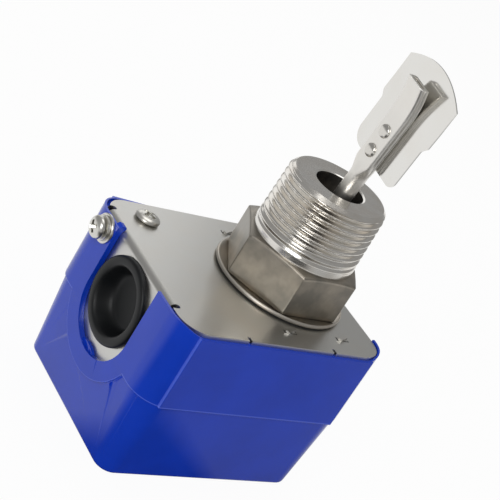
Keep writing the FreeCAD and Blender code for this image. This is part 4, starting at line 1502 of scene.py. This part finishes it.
@dataclass(frozen=True)
class Studio:
    """Camera, floor, white surround and soft lights."""

    camera_at: Triple = (-0.299569, -0.288772, 0.240017)
    right: Triple = (0.754242, -0.440777, 0.486657)
    up: Triple = (-0.143477, 0.612629, 0.777239)
    back: Triple = (-0.640729, -0.656050, 0.398829)
    focal: float = 1508.18
    pixels: float = 500.0
    surround: float = 0.34
    lights: tuple[Softbox, ...] = (
        Softbox("key", (-0.62, -0.42, 0.50), (0.40, 0.40), 2.6),
        Softbox("top", (0.05, 0.10, 0.80), (0.5, 0.5), 1.3),
        Softbox("plate_card", (0.21, 0.55, 0.34), (0.42, 0.34), 0.36),
    )
    floor_half: float = 3000.0
    floor_z: float = -0.05
    floor_grey: float = 0.9
    floor_glow: float = 0.95
    sectors: tuple[Sector, ...] = (
        Sector((-0.74, -0.67, 0.0), 0.78, 0.92, 0.9),
        Sector((0.0, -1.0, 0.0), 0.2, 0.8, 0.55),
    )
    sector_end: Pair = (300.0, 345.0)

    def camera(self) -> None:
        """Add the camera that was fitted to the photograph."""
        lens = bpy.data.cameras.new("camera")
        lens.sensor_width = 36.0
        lens.lens = lens.sensor_width * self.focal / self.pixels
        lens.clip_start = 0.01
        lens.clip_end = 20.0
        made = bpy.data.objects.new("camera", lens)
        turn = Matrix((self.right, self.up, self.back)).transposed()
        made.matrix_world = Matrix.Translation(self.camera_at) @ turn.to_4x4()
        bpy.context.scene.collection.objects.link(made)
        bpy.context.scene.camera = made

    def world(self) -> None:
        """White for the camera and an even grey for everything else."""
        world = bpy.data.worlds.new("studio")
        world.use_nodes = True
        graph = Graph(world.node_tree)
        ray = graph.make("ShaderNodeLightPath", output="Is Camera Ray")
        soft = graph.make("ShaderNodeBackground", {"Color": WHITE, "Strength": self.surround})
        white = graph.make("ShaderNodeBackground", {"Color": WHITE, "Strength": 1.0})
        both = graph.make("ShaderNodeMixShader", {0: ray, 1: soft, 2: white})
        graph.make("ShaderNodeOutputWorld", {"Surface": both})
        bpy.context.scene.world = world

    def glow(self, graph: Graph) -> Value:
        """How brightly glossy surfaces see the floor: white, less each sector near the part.

        Args:
            graph: graph of the floor's material.

        Returns:
            The strength.
        """
        place = graph.coordinates()
        reach = graph.make("ShaderNodeVectorMath", {0: place}, output="Value", operation="LENGTH")
        close = 1.0 - reach.ramp(*self.sector_end)
        parts = []
        for sector in self.sectors:
            toward = graph.make("ShaderNodeVectorMath", {0: place, 1: sector.way}, output="Value",
                                operation="DOT_PRODUCT")
            parts.append(1.0 - (toward / reach).ramp(sector.low, sector.high) * close * sector.share)
        return parts[0] * parts[1]

    def floor(self) -> None:
        """Add the pale floor that keeps the shadow."""
        half = self.floor_half
        corners = [(x * half, y * half, self.floor_z) for x, y in ((-1, -1), (1, -1), (1, 1), (-1, 1))]
        plane = solid("floor", np.array(corners), [[0, 1, 2, 3]])
        pale = bpy.data.materials.new("floor_white")
        pale.use_nodes = True
        graph = Graph(pale.node_tree)
        camera = graph.make("ShaderNodeLightPath", output="Is Camera Ray")
        glossy = graph.make("ShaderNodeLightPath", output="Is Glossy Ray")
        matt = graph.make("ShaderNodeBsdfDiffuse", {"Color": (*[self.floor_grey] * 3, 1.0)})
        white = graph.make("ShaderNodeEmission", {"Color": WHITE, "Strength": 1.0})
        shown = graph.make("ShaderNodeEmission", {"Color": WHITE, "Strength": self.glow(graph)})
        both = graph.make("ShaderNodeMixShader", {0: camera * self.floor_glow, 1: matt, 2: white})
        every = graph.make("ShaderNodeMixShader", {0: glossy, 1: both, 2: shown})
        graph.make("ShaderNodeOutputMaterial", {"Surface": every})
        plane.data.materials.append(pale)

    def build(self) -> None:
        """Set the whole studio up."""
        self.camera()
        self.world()
        self.floor()
        for light in self.lights:
            light.build()
        view = bpy.context.scene.view_settings
        view.view_transform = "Standard"
        view.look = "None"
        view.exposure = 0.0
        view.gamma = 1.0


def write_sizes() -> None:
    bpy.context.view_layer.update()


def main() -> None:
    """Dress every sub-assembly, then set up the studio."""
    logging.basicConfig(level=logging.INFO)
    for part in (Inside(), Cover(), Chassis(), Plug(), Fasteners(), Fitting(), Paddle()):
        LOG.info("dressing %s", type(part).__name__)
        part.dress()
    Studio().build()
    write_sizes()


if __name__ == "__main__":
    main()
